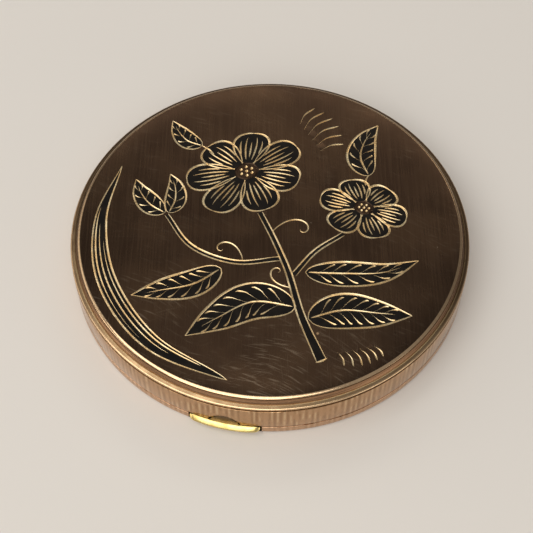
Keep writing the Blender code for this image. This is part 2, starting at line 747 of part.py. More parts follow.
def make_main_hinge(parts, cutters, lid):
    centre = Vector((0, hinge_y, hinge_z))
    length = hinge_width + 2 * OVERRUN
    bore = cylinder_along_x("hinge_bore_cutter", BORE_RADIUS, length, centre, cutters, None, SMALL_STEPS)
    clear_z = leaf_stand_off
    moving = range(1, KNUCKLE_COUNT, 2)
    fixed = range(0, KNUCKLE_COUNT, 2)
    overlap = LEAF_SHEET
    mid_leaf = leaf_inner + LEAF_SHEET / 2
    casing = disc("tab_trim_cutter", mid_leaf, -OVERRUN, plate_top + OVERRUN, cutters)
    lid_leaf = hinge_leaf(
        "lid_hinge_leaf", hinge_z + clear_z, hinge_z + clear_z + LID_LEAF_HEIGHT,
        hinge_z + PIN_RADIUS / 2, hinge_z + clear_z + overlap, moving, casing, parts, cutters, lid,
    )
    base_leaf = hinge_leaf(
        "base_hinge_leaf", BASE_LEAF_FOOT, hinge_z - clear_z,
        hinge_z - clear_z - overlap, hinge_z - PIN_RADIUS / 2, fixed, casing, parts, cutters,
    )
    for leaf in (lid_leaf, base_leaf):
        combine(leaf, bore, "DIFFERENCE")
        coat(leaf, POLISHED_GOLD)
    pin = cylinder_along_x("hinge_pin", PIN_RADIUS, hinge_width, centre, parts, None, SMALL_STEPS)
    polish(pin)
    coat(pin, YELLOW_BRASS)


def make_thumb_bar(parts, cutters, latch):
    bar = sector(
        "latch_thumb_bar", bar_inner, bar_outer, bar_bottom, bar_top, -math.pi / 2,
        BAR_HALF_ANGLE, parts, latch,
    )
    bevel(bar, BAR_ROUND, math.radians(60), 3)
    foot = bar_top - BAR_ROUND - EAR_THICKNESS
    outline = arch_outline(EAR_WIDTH, bar_top, ear_top) + [(EAR_WIDTH / 2, foot), (-EAR_WIDTH / 2, foot)]
    upright = Matrix.Rotation(math.pi / 2, 4, "X")
    middle = Vector((0, -(CASE_RADIUS - EAR_THICKNESS / 2), 0))
    ear = flat_outline("latch_ear", outline, EAR_THICKNESS, upright, middle, cutters, latch)
    combine(bar, ear, "UNION")
    coat(bar, YELLOW_BRASS)
    return bar


def make_latch_slide(parts, cutters, latch):
    half = SLIDE_WIDTH / 2
    slide = block(
        "latch_slide", (-half, -slide_front, slide_bottom), (half, -slide_back, slide_top), parts, latch
    )
    upright = block(
        "slide_upright", (-NOSE_WIDTH / 2, -upright_front, slide_bottom + SLIDE_SHEET / 2),
        (NOSE_WIDTH / 2, -upright_back, nose_top), cutters, latch,
    )
    combine(slide, upright, "UNION")
    nose = block(
        "slide_nose", (-NOSE_WIDTH / 2, -nose_tip, nose_bottom),
        (NOSE_WIDTH / 2, -upright_back - SLIDE_SHEET / 2, nose_top), cutters, latch,
    )
    combine(slide, nose, "UNION")
    coat(slide, SPRING_STEEL)


def make_keeper(parts, cutters, lid):
    """A small ledge inside the skirt, with a backing strip that follows the skirt's curve."""
    seat = shell_inner - SEAT_GAP
    half_angle = math.asin(KEEPER_WIDTH / 2 / seat)
    keeper = sector(
        "lid_keeper", keeper_inner, seat, keeper_bottom, keeper_top, -math.pi / 2, half_angle, parts, lid, 7
    )
    backing = sector(
        "keeper_backing", seat - KEEPER_SHEET, seat, keeper_bottom, keeper_top + KEEPER_BACK,
        -math.pi / 2, half_angle, cutters, lid, 7,
    )
    combine(keeper, backing, "UNION")
    coat(keeper, INNER_GOLD)


def make_latch_guide(parts, cutters):
    """A bridge over the slide with two riveted feet and a seat for the spring."""
    foot_edge = guide_outer + GUIDE_FOOT
    foot_top = slide_bottom + GUIDE_SHEET
    guide = block(
        "latch_guide", (-guide_outer, -guide_front, guide_bottom),
        (guide_outer, -guide_back, guide_top), parts,
    )
    for side, label in ((-1, "left"), (1, "right")):
        edges = sorted((side * guide_inner, side * guide_outer))
        leg = block(
            "guide_leg_" + label, (edges[0], -guide_front, slide_bottom),
            (edges[1], -guide_back, guide_top), cutters,
        )
        combine(guide, leg, "UNION")
        edges = sorted((side * (guide_inner + GUIDE_SHEET / 2), side * foot_edge))
        foot = block(
            "guide_foot_" + label, (edges[0], -guide_front, slide_bottom),
            (edges[1], -guide_back, foot_top), cutters,
        )
        combine(guide, foot, "UNION")
    seat = block(
        "guide_seat", (-GUIDE_SEAT_WIDTH / 2, -guide_back - GUIDE_SHEET, guide_bottom + GUIDE_SHEET / 2),
        (GUIDE_SEAT_WIDTH / 2, -guide_back, guide_seat_top), cutters,
    )
    combine(guide, seat, "UNION")
    hole_x = guide_outer + GUIDE_FOOT / 2
    hole_y = -(guide_front + guide_back) / 2
    hole_radius = RIVET_RADIUS + STACK_GAP
    for side, label in ((-1, "left"), (1, "right")):
        place = Vector((side * hole_x, hole_y, 0))
        hole = disc(
            "rivet_hole_" + label, hole_radius, slide_bottom - OVERRUN, foot_top + OVERRUN,
            cutters, None, SMALL_STEPS,
        )
        hole.location = place
        combine(guide, hole, "DIFFERENCE")
        head_bottom = foot_top + STACK_GAP
        profile = [
            (0, head_bottom + RIVET_HEAD_HEIGHT),
            (RIVET_HEAD_RADIUS / 2, head_bottom + RIVET_HEAD_HEIGHT * RIVET_CROWN_SHARE),
            (RIVET_HEAD_RADIUS, head_bottom),
            (RIVET_RADIUS, head_bottom),
            (RIVET_RADIUS, slide_bottom),
            (0, slide_bottom),
        ]
        rivet = turned("latch_guide_rivet_" + label, profile, parts, None, SMALL_STEPS)
        rivet.location = place
        coat(rivet, YELLOW_BRASS)
    coat(guide, INNER_GOLD)


def make_latch_spring(parts):
    start = Vector((0, -upright_back + STACK_GAP, spring_z))
    end = Vector((0, -guide_back - GUIDE_SHEET - STACK_GAP, spring_z))
    points = helix(start, end, SPRING_RADIUS, SPRING_WIRE, SPRING_TURNS)
    spring = coil("latch_spring", points, SPRING_WIRE, parts)
    polish(spring)
    coat(spring, SPRING_STEEL)


def pivot(name, place, collection):
    """An empty on a joint's axis, which carries the pieces that move with it."""
    empty = bpy.data.objects.new(name, None)
    empty.location = place
    empty.empty_display_size = CASE_RADIUS / 4
    collection.objects.link(empty)
    return empty


def main():
    clear_scene()
    parts = new_collection("compact_mirror")
    cutters = new_collection("compact_mirror_cutters")
    lid = pivot("lid_hinge_axis", Vector((0, hinge_y, hinge_z)), parts)
    inner_lid = pivot("inner_lid_hinge_axis", Vector((0, INNER_HINGE_Y, inner_hinge_z)), parts)
    latch = pivot("latch_slide_axis", Vector((0, -bar_outer, bar_top)), parts)

    make_base_shell(parts, cutters)
    make_inner_collar(parts, cutters)
    make_powder_well(parts, cutters)
    make_sifter(parts)
    make_puff(parts)
    make_lid_shell(parts, cutters, lid)
    make_mirror(parts, lid)
    make_inner_lid(parts, cutters, inner_lid)
    make_main_hinge(parts, cutters, lid)
    make_thumb_bar(parts, cutters, latch)
    make_latch_slide(parts, cutters, latch)
    make_keeper(parts, cutters, lid)
    make_latch_guide(parts, cutters)
    make_latch_spring(parts)
    print(f"case {2 * CASE_RADIUS * 1000:.1f} mm across, {(plate_top + DOME_RISE) * 1000:.2f} mm high")
    print(f"lid hinge at y {hinge_y * 1000:.2f} mm, z {hinge_z * 1000:.2f} mm")
    print(f"inner hinge at y {INNER_HINGE_Y * 1000:.2f} mm, z {inner_hinge_z * 1000:.2f} mm")


main()
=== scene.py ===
# %% [markdown]
# # A round powder compact
#
# This lesson dresses the CAD model of a powder compact: a flat round tin of gilt brass with a mirror
# in its lid. The CAD model holds every moving piece at its real size. Here each piece gets the form
# and the finish that the eye sees: a bronzed lid with an engraved spray of flowers, a polished side,
# a bright thumb bar, and inside a mirror, a velour puff and gilt pans.
#
# Everything is in metres, in the CAD model's own frame. The thumb bar faces -Y and +Z is up.

import json
import math

import bmesh
import bpy
import numpy as np
from mathutils import Matrix, Vector, noise
from mathutils.geometry import delaunay_2d_cdt

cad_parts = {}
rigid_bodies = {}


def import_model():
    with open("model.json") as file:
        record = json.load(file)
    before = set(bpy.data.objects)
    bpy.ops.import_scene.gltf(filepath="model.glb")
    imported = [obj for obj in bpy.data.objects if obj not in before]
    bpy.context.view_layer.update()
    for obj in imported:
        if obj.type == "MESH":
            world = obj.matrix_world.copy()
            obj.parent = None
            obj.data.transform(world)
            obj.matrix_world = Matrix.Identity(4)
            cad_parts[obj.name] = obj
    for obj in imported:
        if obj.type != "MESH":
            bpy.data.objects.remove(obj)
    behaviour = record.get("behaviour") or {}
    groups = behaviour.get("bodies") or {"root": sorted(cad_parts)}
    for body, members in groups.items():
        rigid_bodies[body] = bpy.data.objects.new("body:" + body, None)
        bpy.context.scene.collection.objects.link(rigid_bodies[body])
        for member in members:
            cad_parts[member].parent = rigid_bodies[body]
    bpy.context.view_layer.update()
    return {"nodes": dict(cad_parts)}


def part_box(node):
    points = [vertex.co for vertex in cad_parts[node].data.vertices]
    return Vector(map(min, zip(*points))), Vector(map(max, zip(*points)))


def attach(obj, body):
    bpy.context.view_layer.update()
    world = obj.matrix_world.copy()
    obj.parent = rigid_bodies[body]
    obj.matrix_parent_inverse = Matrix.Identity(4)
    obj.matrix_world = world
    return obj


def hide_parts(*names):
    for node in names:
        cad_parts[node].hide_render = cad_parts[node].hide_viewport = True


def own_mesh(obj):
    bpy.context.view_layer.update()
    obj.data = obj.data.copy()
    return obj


for leftover in list(bpy.data.objects):
    bpy.data.objects.remove(leftover, do_unlink=True)
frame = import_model()
MM = 0.001

# %% [markdown]
# The sizes that everything else follows could be typed in again, but then they could drift from the
# CAD model. So they come from the CAD boxes: the case's radius, the heights of the lid and the base,
# and where the inner pieces sit. A small helper gives a node's radius and its lowest and highest
# point, because nearly everything here is turned about one axis. One angle isn't in the frame: the
# plate is brushed and engraved 12.5 degrees off the line that runs through the thumb bar.

# %% Sizes from the frame


def span(node):
    """A turned node's outer radius, and its lowest and highest height."""
    low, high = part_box(node)
    return high.x, low.z, high.z


CASE_RADIUS, SKIRT_BOTTOM, LID_TOP = span("lid_shell")
BASE_TOP = span("base_shell")[2]
SHEET = 0.5 * MM
SEAT_GAP = 0.3 * MM
OVERRUN = 1.0 * MM
DOME_RISE = 0.2 * MM
PLATE_RADIUS = CASE_RADIUS - 2.1 * MM
PLATE_EDGE_TOP = LID_TOP - DOME_RISE
TURN_STEPS = 240
PLATE_TURN = math.radians(12.5)
print(f"case {2 * CASE_RADIUS / MM:.1f} mm across, lid top at {LID_TOP / MM:.2f} mm")

# %% [markdown]
# Three helpers carry the materials. One turns an sRGB hex value, as a colour picker gives it, to the
# linear numbers that a shader takes. One adds a node with its settings and its links. One starts a
# material with its Principled shader and the piece's own coordinates, which are metres here.

# %% Material helpers
EASED = {"interpolation_type": "SMOOTHSTEP"}
TIMES = {"operation": "MULTIPLY"}
COLOURS = {"data_type": "RGBA"}


def linear(hex_colour):
    """The linear colour of an sRGB hex value."""
    channels = [int(hex_colour[i:i + 2], 16) / 255 for i in (0, 2, 4)]
    return (*(c / 12.92 if c <= 0.04045 else ((c + 0.055) / 1.055) ** 2.4 for c in channels), 1.0)


def add(tree, kind, inputs=None, output=0, **settings):
    """Adds a node and gives one of its outputs. An input takes a value, a hex colour or an output."""
    made = tree.nodes.new("ShaderNode" + kind)
    for name, value in settings.items():
        setattr(made, name, value)
    for socket, value in (inputs or {}).items():
        if isinstance(value, bpy.types.NodeSocket):
            tree.links.new(value, made.inputs[socket])
        else:
            made.inputs[socket].default_value = linear(value) if isinstance(value, str) else value
    return made.outputs[output]


def start_material(name, colour, roughness, metallic=1.0, **sockets):
    """A material with its shader set. Gives the material, its tree, shader and coordinates."""
    material = bpy.data.materials.new(name)
    material.use_nodes = True
    tree = material.node_tree
    shader = tree.nodes["Principled BSDF"]
    sockets = {"Base_Color": colour, "Roughness": roughness, "Metallic": metallic, **sockets}
    for socket, value in sockets.items():
        value = linear(value) if isinstance(value, str) else value
        shader.inputs[socket.replace("_", " ")].default_value = value
    return material, tree, shader, add(tree, "TexCoord", output="Object")


# %% [markdown]
# Real surfaces are never one even colour, and each metal, cloth and card here varies in the same three
# ways: its tone is mottled, its gloss follows the same pattern, and the pattern stands out a little.
# One function does each. The patterns themselves are noise, whose scale is always one over a real
# size in metres. Painted images could do it too, but noise stays sharp however near the eye comes.

# %% Mottling, gloss and relief


def mottled(tree, pattern, low, high, first, second, to_share=1.0, from_share=0.0):
    """Two tones: the share of the second follows a pattern as that rises from low to high."""
    share = add(tree, "MapRange", {"Value": pattern, 1: low, 2: high, 3: from_share, 4: to_share}, **EASED)
    return add(tree, "Mix", {0: share, 6: first, 7: second}, 2, **COLOURS)


def vary_gloss(tree, shader, pattern, at_low, at_high, low=0.3, high=0.7):
    """Lets the roughness follow a pattern from one value to another."""
    spread = add(tree, "MapRange", {"Value": pattern, 1: low, 2: high, 3: at_low, 4: at_high}, **EASED)
    tree.links.new(spread, shader.inputs["Roughness"])


def relief(tree, shader, height, depth, strength=1.0):
    """Lets a height pattern between 0 and 1 dent the surface by a real depth."""
    normal = add(tree, "Bump", {"Height": height, "Distance": depth, "Strength": strength})
    tree.links.new(normal, shader.inputs["Normal"])


# %% [markdown]
# The lid's plate is drawn brass, brushed and then bronzed with a thin brown lacquer, baked on. To the eye it
# is a dark satin brown. Years in a handbag left soft scuffs along the way it was slid in and out, a few crisp
# hairlines, dust, and small nicks where the brass shows through. The scuffs are painted stronger toward the
# front, so that they also paint a highlight over the front of the plate. Marks of these kinds could be cut
# into the mesh, but they are far too shallow to need it, so they are noise, stretched along each family's own
# direction. That noise is 0.2 to 0.46 mm wide, far coarser than a real scratch, because a real one wouldn't
# show.

# %% Marks of use
SCUFF_SWAY = 10 * MM
SCUFF_BEND = 26 * MM
SCUFF_PATCH = 9 * MM
FRONT_HIGHLIGHT_START = -32 * MM
FRONT_HIGHLIGHT_END = -2 * MM
SCUFFED_END = -8 * MM
# Each family of marks: its turn, a seed, its length and width in mm, how soft it is and how strong
SCUFFS = (
    (0.10, 0.13, 5.0, 0.46, 0.16, 0.34),
    (0.34, 0.57, 4.0, 0.38, 0.16, 0.30),
    (0.22, 0.31, 8.0, 0.20, 0.08, 0.36),
    (1.36, 0.83, 6.0, 0.20, 0.08, 0.15),
    (-0.55, 0.45, 7.0, 0.20, 0.08, 0.20),
)


def marks_along(tree, place, turn, seed, length, width, softness):
    """Scratches at one angle, slightly curved, each a few millimetres long."""
    bend = add(tree, "TexNoise", {"Vector": place, "Scale": 1 / SCUFF_BEND, "Detail": 0.0}, "Color")
    bent = add(tree, "VectorMath", {0: bend, 1: (SCUFF_SWAY,) * 3, 2: place}, operation="MULTIPLY_ADD")
    swung = add(tree, "Mapping", {"Vector": bent, "Rotation": (0, 0, turn), "Location": (seed, 0, 0)})
    drawn = add(tree, "Mapping", {"Vector": swung, "Scale": (1 / length, 1 / width, 1 / length)})
    lines = add(tree, "TexNoise", {"Vector": drawn, "Scale": 1.0, "Detail": 1.0})
    return add(tree, "MapRange", {"Value": lines, 1: 0.74 - softness, 2: 0.75}, **EASED)


def painted_highlight_front(tree, place, rear_share, end=FRONT_HIGHLIGHT_END):
    """1 toward the front, falling to a share at the back: it paints a highlight over the front."""
    along = add(tree, "SeparateXYZ", {"Vector": place}, "Y")
    return add(tree, "MapRange", {"Value": along, 1: FRONT_HIGHLIGHT_START, 2: end, 3: 1.0, 4: rear_share}, **EASED)


def scuffs(tree, place):
    """How scuffed each place is: the strongest mark of any family, less toward the back, which paints a
    highlight on the front.
    """
    strongest = 0.0
    for turn, seed, length, width, softness, strength in SCUFFS:
        lines = marks_along(tree, place, turn, seed, length * MM, width * MM, softness)
        patches = add(tree, "TexNoise", {"Vector": place, "Scale": 1 / (SCUFF_PATCH * (1 + seed))})
        worn = add(tree, "MapRange", {"Value": patches, 1: 0.44, 2: 0.6, 4: strength}, **EASED)
        lines = add(tree, "Math", {0: lines, 1: worn}, **TIMES)
        strongest = add(tree, "Math", {0: strongest, 1: lines}, operation="MAXIMUM")
    front_highlight = painted_highlight_front(tree, place, 0.2, SCUFFED_END)
    return add(tree, "Math", {0: strongest, 1: front_highlight}, **TIMES)


def specks(tree, place, spacing, size, share):
    """Small round specks, one at most in each cell, and in only a share of the cells."""
    reach = size / spacing
    cells = add(tree, "TexVoronoi", {"Vector": place, "Scale": 1 / spacing, "Randomness": 1.0})
    dots = add(tree, "MapRange", {"Value": cells, 1: 0.5 * reach, 2: reach, 3: 1.0, 4: 0.0}, **EASED)
    drawn = add(tree, "SeparateColor", {"Color": cells.node.outputs["Color"]}, "Red")
    chosen = add(tree, "MapRange", {"Value": drawn, 1: 1 - share - 0.02, 2: 1 - share}, **EASED)
    return add(tree, "Math", {0: dots, 1: chosen}, **TIMES)


print(len(SCUFFS), "families of scuffs, up to", max(row[2] for row in SCUFFS), "mm long")

# %% [markdown]
# The plate itself is a cloudy dark brown under faint brush lines, and the scuffs, the dust and the nicks
# lie over it one after another. Its gloss follows two things: finger smudges, a few millimetres wide,
# and the brushing.

# %% Bronzed plate
PATCH_SIZE = 14 * MM
BRUSH_WIDTH = 0.3 * MM
BRUSH_LENGTH = 14 * MM
DUST_SPACING, DUST_SIZE = 2.6 * MM, 0.14 * MM
NICK_SPACING, NICK_SIZE = 8 * MM, 0.34 * MM


def make_bronzed_plate():
    material, tree, shader, place = start_material("bronzed_satin_brass", "463830", 0.32)
    patches = add(tree, "TexNoise", {"Vector": place, "Scale": 1 / PATCH_SIZE, "Detail": 3.0})
    colour = mottled(tree, patches, 0.35, 0.7, "423328", "4D3C2E")
    square = add(tree, "Mapping", {"Vector": place, "Rotation": (0, 0, -PLATE_TURN)})
    hairs = (1 / BRUSH_WIDTH, 1 / BRUSH_LENGTH, 1 / BRUSH_LENGTH)
    drawn = add(tree, "Mapping", {"Vector": square, "Scale": hairs})
    brush = add(tree, "TexNoise", {"Vector": drawn, "Scale": 1.0, "Detail": 4.0})
    colour = mottled(tree, brush, 0.42, 0.68, colour, "6B5948", 0.11)
    scratches = scuffs(tree, place)
    dust = specks(tree, place, DUST_SPACING, DUST_SIZE, 0.3)
    nicks = specks(tree, place, NICK_SPACING, NICK_SIZE, 0.4)
    for share, bright in ((scratches, "A39380"), (dust, "A89A88"), (nicks, "AE9272")):
        colour = add(tree, "Mix", {0: share, 6: colour, 7: bright}, 2, **COLOURS)
    tree.links.new(colour, shader.inputs["Base Color"])
    smudge = add(tree, "TexNoise", {"Vector": place, "Scale": 1 / (8 * MM)})
    smudged = add(tree, "MapRange", {"Value": smudge, 1: 0.3, 2: 0.7, 3: 0.24, 4: 0.31}, **EASED)
    brushed = add(tree, "MapRange", {"Value": brush, 1: 0.3, 2: 0.7, 3: -0.02, 4: 0.03}, **EASED)
    roughness = add(tree, "Math", {0: smudged, 1: brushed}, operation="ADD")
    tree.links.new(roughness, shader.inputs["Roughness"])
    height = add(tree, "Math", {0: brush, 1: scratches}, operation="SUBTRACT")
    relief(tree, shader, height, 0.004 * MM, 0.6)
    return material


BRONZED_PLATE = make_bronzed_plate()
print(BRONZED_PLATE.name, "has", len(BRONZED_PLATE.node_tree.nodes), "nodes")

# %% [markdown]
# The engraver's cuts go through the lacquer into bright brass, so they shine pale gold. A graver
# leaves a polished groove with faint chatter across it. The petals and leaves between the cuts are
# filled with black enamel, fired and rubbed level, which looks near black with a soft gloss. The fill
# is a glass, so it is no metal, and its reflection is held low because it lies in a shallow bed.

# %% Cut brass and black enamel


def make_cut_brass():
    material, tree, shader, place = start_material("bright_cut_brass", "F0D6A6", 0.24)
    chatter = add(tree, "TexNoise", {"Vector": place, "Scale": 1 / (0.25 * MM)})
    vary_gloss(tree, shader, chatter, 0.22, 0.36)
    tone = add(tree, "TexNoise", {"Vector": place, "Scale": 1 / (3 * MM)})
    tree.links.new(mottled(tree, tone, 0.35, 0.7, "E6C48E", "F7E2B6"), shader.inputs["Base Color"])
    relief(tree, shader, chatter, 0.01 * MM, 0.5)
    return material


def make_black_enamel():
    material, tree, shader, place = start_material(
        "black_enamel_fill", "110D0A", 0.5, 0.0, Specular_IOR_Level=0.12
    )
    cloud = add(tree, "TexNoise", {"Vector": place, "Scale": 1 / (2.2 * MM), "Detail": 3.0})
    tree.links.new(mottled(tree, cloud, 0.4, 0.75, "0F0C0A", "1D1813"), shader.inputs["Base Color"])
    vary_gloss(tree, shader, cloud, 0.36, 0.55)
    orange_peel = add(tree, "TexNoise", {"Vector": place, "Scale": 1 / (0.18 * MM)})
    relief(tree, shader, orange_peel, 0.004 * MM, 0.5)
    return material


CUT_BRASS = make_cut_brass()
BLACK_ENAMEL = make_black_enamel()
print("for the engraving:", CUT_BRASS.name, "and", BLACK_ENAMEL.name)

# %% [markdown]
# The rim and the side are the same brass with a rose-gold plate, polished on a wheel. Round the side run
# faint upright marks about a millimetre apart, broken up here and there: a very shallow relief, and in the
# colour darker and lighter streaks that are painted reflection, as of a woven cloth mirrored in the polish.
# Noise alone would spread them unevenly, so they are a wave that counts the angle round the axis, and noise
# only makes it wander and break.
#
# The parts that carried the plate's brown lacquer, such as the rim, take a share for the back: they are
# painted lighter toward the front as a highlight, and the lacquer's brown stays toward the back.

# %% Rose-gold side and rim
REAR_BROWN = "4C3828"
STREAK_SPACING = 1.15 * MM
STREAK_DRIFT = 7.0
STREAK_WANDER = (2.4 * MM, 2.4 * MM, 30 * MM)
STREAK_BREAKS = (1.7 * MM, 1.7 * MM, 3.0 * MM)


def brown_behind_highlight_front(tree, place, tone, rear_share):
    """A tone painted lighter in front as a highlight, with the lacquer's brown over it toward the back."""
    if rear_share == 1:
        return tone
    highlight_share = painted_highlight_front(tree, place, rear_share)
    return add(tree, "Mix", {0: highlight_share, 6: REAR_BROWN, 7: tone}, 2, **COLOURS)


def relief_and_painted_streaks(tree, place):
    """A wave from -1 to 1 that counts round the axis, and the noise that breaks it up."""
    x, y = (add(tree, "SeparateXYZ", {"Vector": place}, axis) for axis in "XY")
    around = add(tree, "Math", {0: y, 1: x}, operation="ARCTAN2")
    wander = add(tree, "Mapping", {"Vector": place, "Scale": tuple(1 / s for s in STREAK_WANDER)})
    wobble = add(tree, "TexNoise", {"Vector": wander, "Scale": 1.0})
    drift = add(tree, "Math", {0: wobble, 1: STREAK_DRIFT}, **TIMES)
    count = float(round(2 * math.pi * CASE_RADIUS / STREAK_SPACING))
    phase = add(tree, "Math", {0: around, 1: count, 2: drift}, operation="MULTIPLY_ADD")
    breaks = add(tree, "Mapping", {"Vector": place, "Scale": tuple(1 / s for s in STREAK_BREAKS)})
    broken = add(tree, "TexNoise", {"Vector": breaks, "Scale": 1.0})
    return add(tree, "Math", {0: phase}, operation="SINE"), broken


def make_rose_gold(name, colour, shadow, light, streaks, rear_share=1.0):
    """Rose-gold plate with faint upright marks in relief, and painted streaks of shade and reflection along
    them, as strongly as streaks says.
    """
    material, tree, shader, place = start_material(name, colour, 0.16)
    marks, broken = relief_and_painted_streaks(tree, place)
    tone = colour
    for start, full, thin, dense, least, streak in (
        (-0.5, 1.0, 0.36, 0.60, 0.25, shadow),
        (-0.3, -1.0, 0.44, 0.66, 0.0, light),
    ):
        share = add(tree, "MapRange", {"Value": marks, 1: start, 2: full, 4: streaks}, **EASED)
        unbroken = add(tree, "MapRange", {"Value": broken, 1: thin, 2: dense, 3: least}, **EASED)
        share = add(tree, "Math", {0: share, 1: unbroken}, **TIMES)
        tone = add(tree, "Mix", {0: share, 6: tone, 7: streak}, 2, **COLOURS)
    tone = brown_behind_highlight_front(tree, place, tone, rear_share)
    tree.links.new(tone, shader.inputs["Base Color"])
    smudge = add(tree, "TexNoise", {"Vector": place, "Scale": 1 / (5 * MM), "Detail": 3.0})
    vary_gloss(tree, shader, smudge, 0.12, 0.24)
    relief(tree, shader, marks, 0.005 * MM * streaks, 0.5)
    return material


ROSE_GOLD_SIDE = make_rose_gold("polished_rose_gold_side", "C29C76", "92714F", "E4CAA4", 0.6)
ROSE_GOLD_BASE = make_rose_gold("polished_rose_gold_base", "CCA888", "A07E60", "E2C8AE", 0.4)
ROSE_GOLD_RIM = make_rose_gold("polished_rose_gold_rim", "E8CCA4", "D2B088", "F0D8B4", 0.3)
# Painted highlight: the rim is lighter toward the front, with the lacquer's brown toward the back.
RIM_PAINTED_HIGHLIGHT = make_rose_gold("lacquered_rim_painted_highlight", "EBC9A0", "D2A980", "F2D6B0", 0.3, 0.45)
print("draw marks:", round(2 * math.pi * CASE_RADIUS / STREAK_SPACING), "round the side")

# %% [markdown]
# The bead below the rim is bronzed brass in a light tone, painted lighter toward the front as a highlight,
# with the lacquer's brown behind. The crease beside the plate and the one under the bead are painted dark, as
# shade, and the bead's inner edge is a painted highlight in pale brass. The ear of the thumb bar is painted
# darker than the bar, as shade. The small solid parts are plain brass or steel, each one metal with a duller
# tone in the hollows of a fine grain, so one function makes them all, and only the bead has its own.

# %% Bead bronze, painted shade and highlights, and worn metal


def make_worn_metal(name, colour, dull, roughness, grain, rear_share=1.0):
    """A small solid part: one metal with a duller tone in the hollows of a fine grain."""
    material, tree, shader, place = start_material(name, colour, roughness)
    wear = add(tree, "TexNoise", {"Vector": place, "Scale": 1 / grain, "Detail": 3.0})
    tone = brown_behind_highlight_front(tree, place, mottled(tree, wear, 0.42, 0.7, colour, dull, 0.7), rear_share)
    tree.links.new(tone, shader.inputs["Base Color"])
    vary_gloss(tree, shader, wear, roughness - 0.05, roughness + 0.1)
    fine = add(tree, "TexNoise", {"Vector": place, "Scale": 6 / grain})
    relief(tree, shader, fine, 0.006 * MM, 0.4)
    return material


def make_bead_bronze():
    material, tree, shader, place = start_material("bronzed_bead_painted_highlight", "A88C6A", 0.28)
    rubbed = add(tree, "TexNoise", {"Vector": place, "Scale": 1 / (3.5 * MM), "Detail": 3.0})
    tone = brown_behind_highlight_front(tree, place, mottled(tree, rubbed, 0.38, 0.66, "9C8060", "B89A76"), 0.15)
    tree.links.new(tone, shader.inputs["Base Color"])
    vary_gloss(tree, shader, rubbed, 0.32, 0.22)
    fine = add(tree, "TexNoise", {"Vector": place, "Scale": 1 / (0.3 * MM)})
    relief(tree, shader, fine, 0.005 * MM, 0.5)
    return material


# Painted highlight: the bead's light tone in front, with the lacquer's brown toward the back.
BEAD_BRONZE = make_bead_bronze()
# Painted shade: a dark line in the crease by the rim and in the groove under the bead.
CREASE_SHADE = make_worn_metal("painted_shade_crease", "5E4127", "33210F", 0.5, 1.2 * MM)
# Painted shade: the ear is a darker copy of the bar's brass.
EAR_SHADE = make_worn_metal("painted_shade_brass_ear", "6E5A46", "57432F", 0.3, 1.2 * MM)
# Painted highlight: a pale, rough brass on the bead's inner edge, bright from every side.
PAINTED_EDGE_HIGHLIGHT = make_worn_metal("painted_highlight_edge", "F4DCAE", "D9B783", 0.45, 1.0 * MM, 0.12)
print("bronze and tarnish:", BEAD_BRONZE.name, CREASE_SHADE.name, EAR_SHADE.name, PAINTED_EDGE_HIGHLIGHT.name)

# %% [markdown]
# Inside, the brass was spun and gilt: a warmer gold with fine rings about the axis. The slope beside the
# plate was turned the same way and left satin, in the side's copper tone, and like the rim it is painted
# lighter toward the front as a highlight, with the lacquer's brown behind. The rings could be modelled, but
# they are finer than a hair, so noise along the radius gives them, and an anisotropic shader draws the
# highlight out across them, as fine turning does. The thumb bar is solid brass, the yellowest metal on the
# compact, worn bright by use.

# %% Spun gilt, thumb brass and steel
SPUN_SHEEN = 0.45


def make_spun_metal(name, colour, dull, roughness, spacing, rear_share=1.0):
    """Metal turned or spun about the axis, with rings at a spacing."""
    material, tree, shader, place = start_material(name, colour, roughness, Anisotropic=SPUN_SHEEN)
    x, y, z = (add(tree, "SeparateXYZ", {"Vector": place}, axis) for axis in "XYZ")
    flat = add(tree, "CombineXYZ", {"X": x, "Y": y})
    radius = add(tree, "VectorMath", {0: flat}, "Value", operation="LENGTH")
    profile = add(tree, "CombineXYZ", {"X": radius, "Y": z})
    rings = add(tree, "TexNoise", {"Vector": profile, "Scale": 1 / spacing, "Detail": 1.0})
    cloud = add(tree, "TexNoise", {"Vector": place, "Scale": 1 / (7 * MM), "Detail": 3.0})
    tone = brown_behind_highlight_front(tree, place, mottled(tree, cloud, 0.35, 0.7, colour, dull, 0.35), rear_share)
    tree.links.new(tone, shader.inputs["Base Color"])
    vary_gloss(tree, shader, rings, roughness - 0.02, roughness + 0.04, 0.25, 0.75)
    relief(tree, shader, rings, 0.002 * MM, 0.3)
    tree.links.new(add(tree, "Tangent", direction_type="RADIAL", axis="Z"), shader.inputs["Tangent"])
    return material


SPUN_GILT = make_spun_metal("spun_gilt_brass", "DFC99E", "C4A674", 0.30, 0.55 * MM)
TURNED_COPPER = make_spun_metal("turned_copper_slope", "A27E60", "826248", 0.26, 0.35 * MM, 0.3)
THUMB_BRASS = make_worn_metal("worn_yellow_brass", "F2DA90", "D0AA5C", 0.22, 2.4 * MM)
GILT_BRASS = make_worn_metal("polished_gilt_brass", "DCBE88", "B4935C", 0.22, 2.0 * MM)
SPRING_STEEL = make_worn_metal("drawn_spring_steel", "A9A9AE", "77767A", 0.30, 0.8 * MM)
print("turned and solid:", SPUN_GILT.name, TURNED_COPPER.name, THUMB_BRASS.name, SPRING_STEEL.name)

# %% [markdown]
# The mirror is plate glass, silvered on its back. It could be a glass block over a silver sheet, but
# seen from the front it is the silver that shows, so the face is a nearly perfect metal, with the
# faintest haze of powder. The ground edge of the glass looks green-grey. Behind it lies a grey card,
# which keeps the silver from rubbing on the lid.

# %% Mirror, edge and card


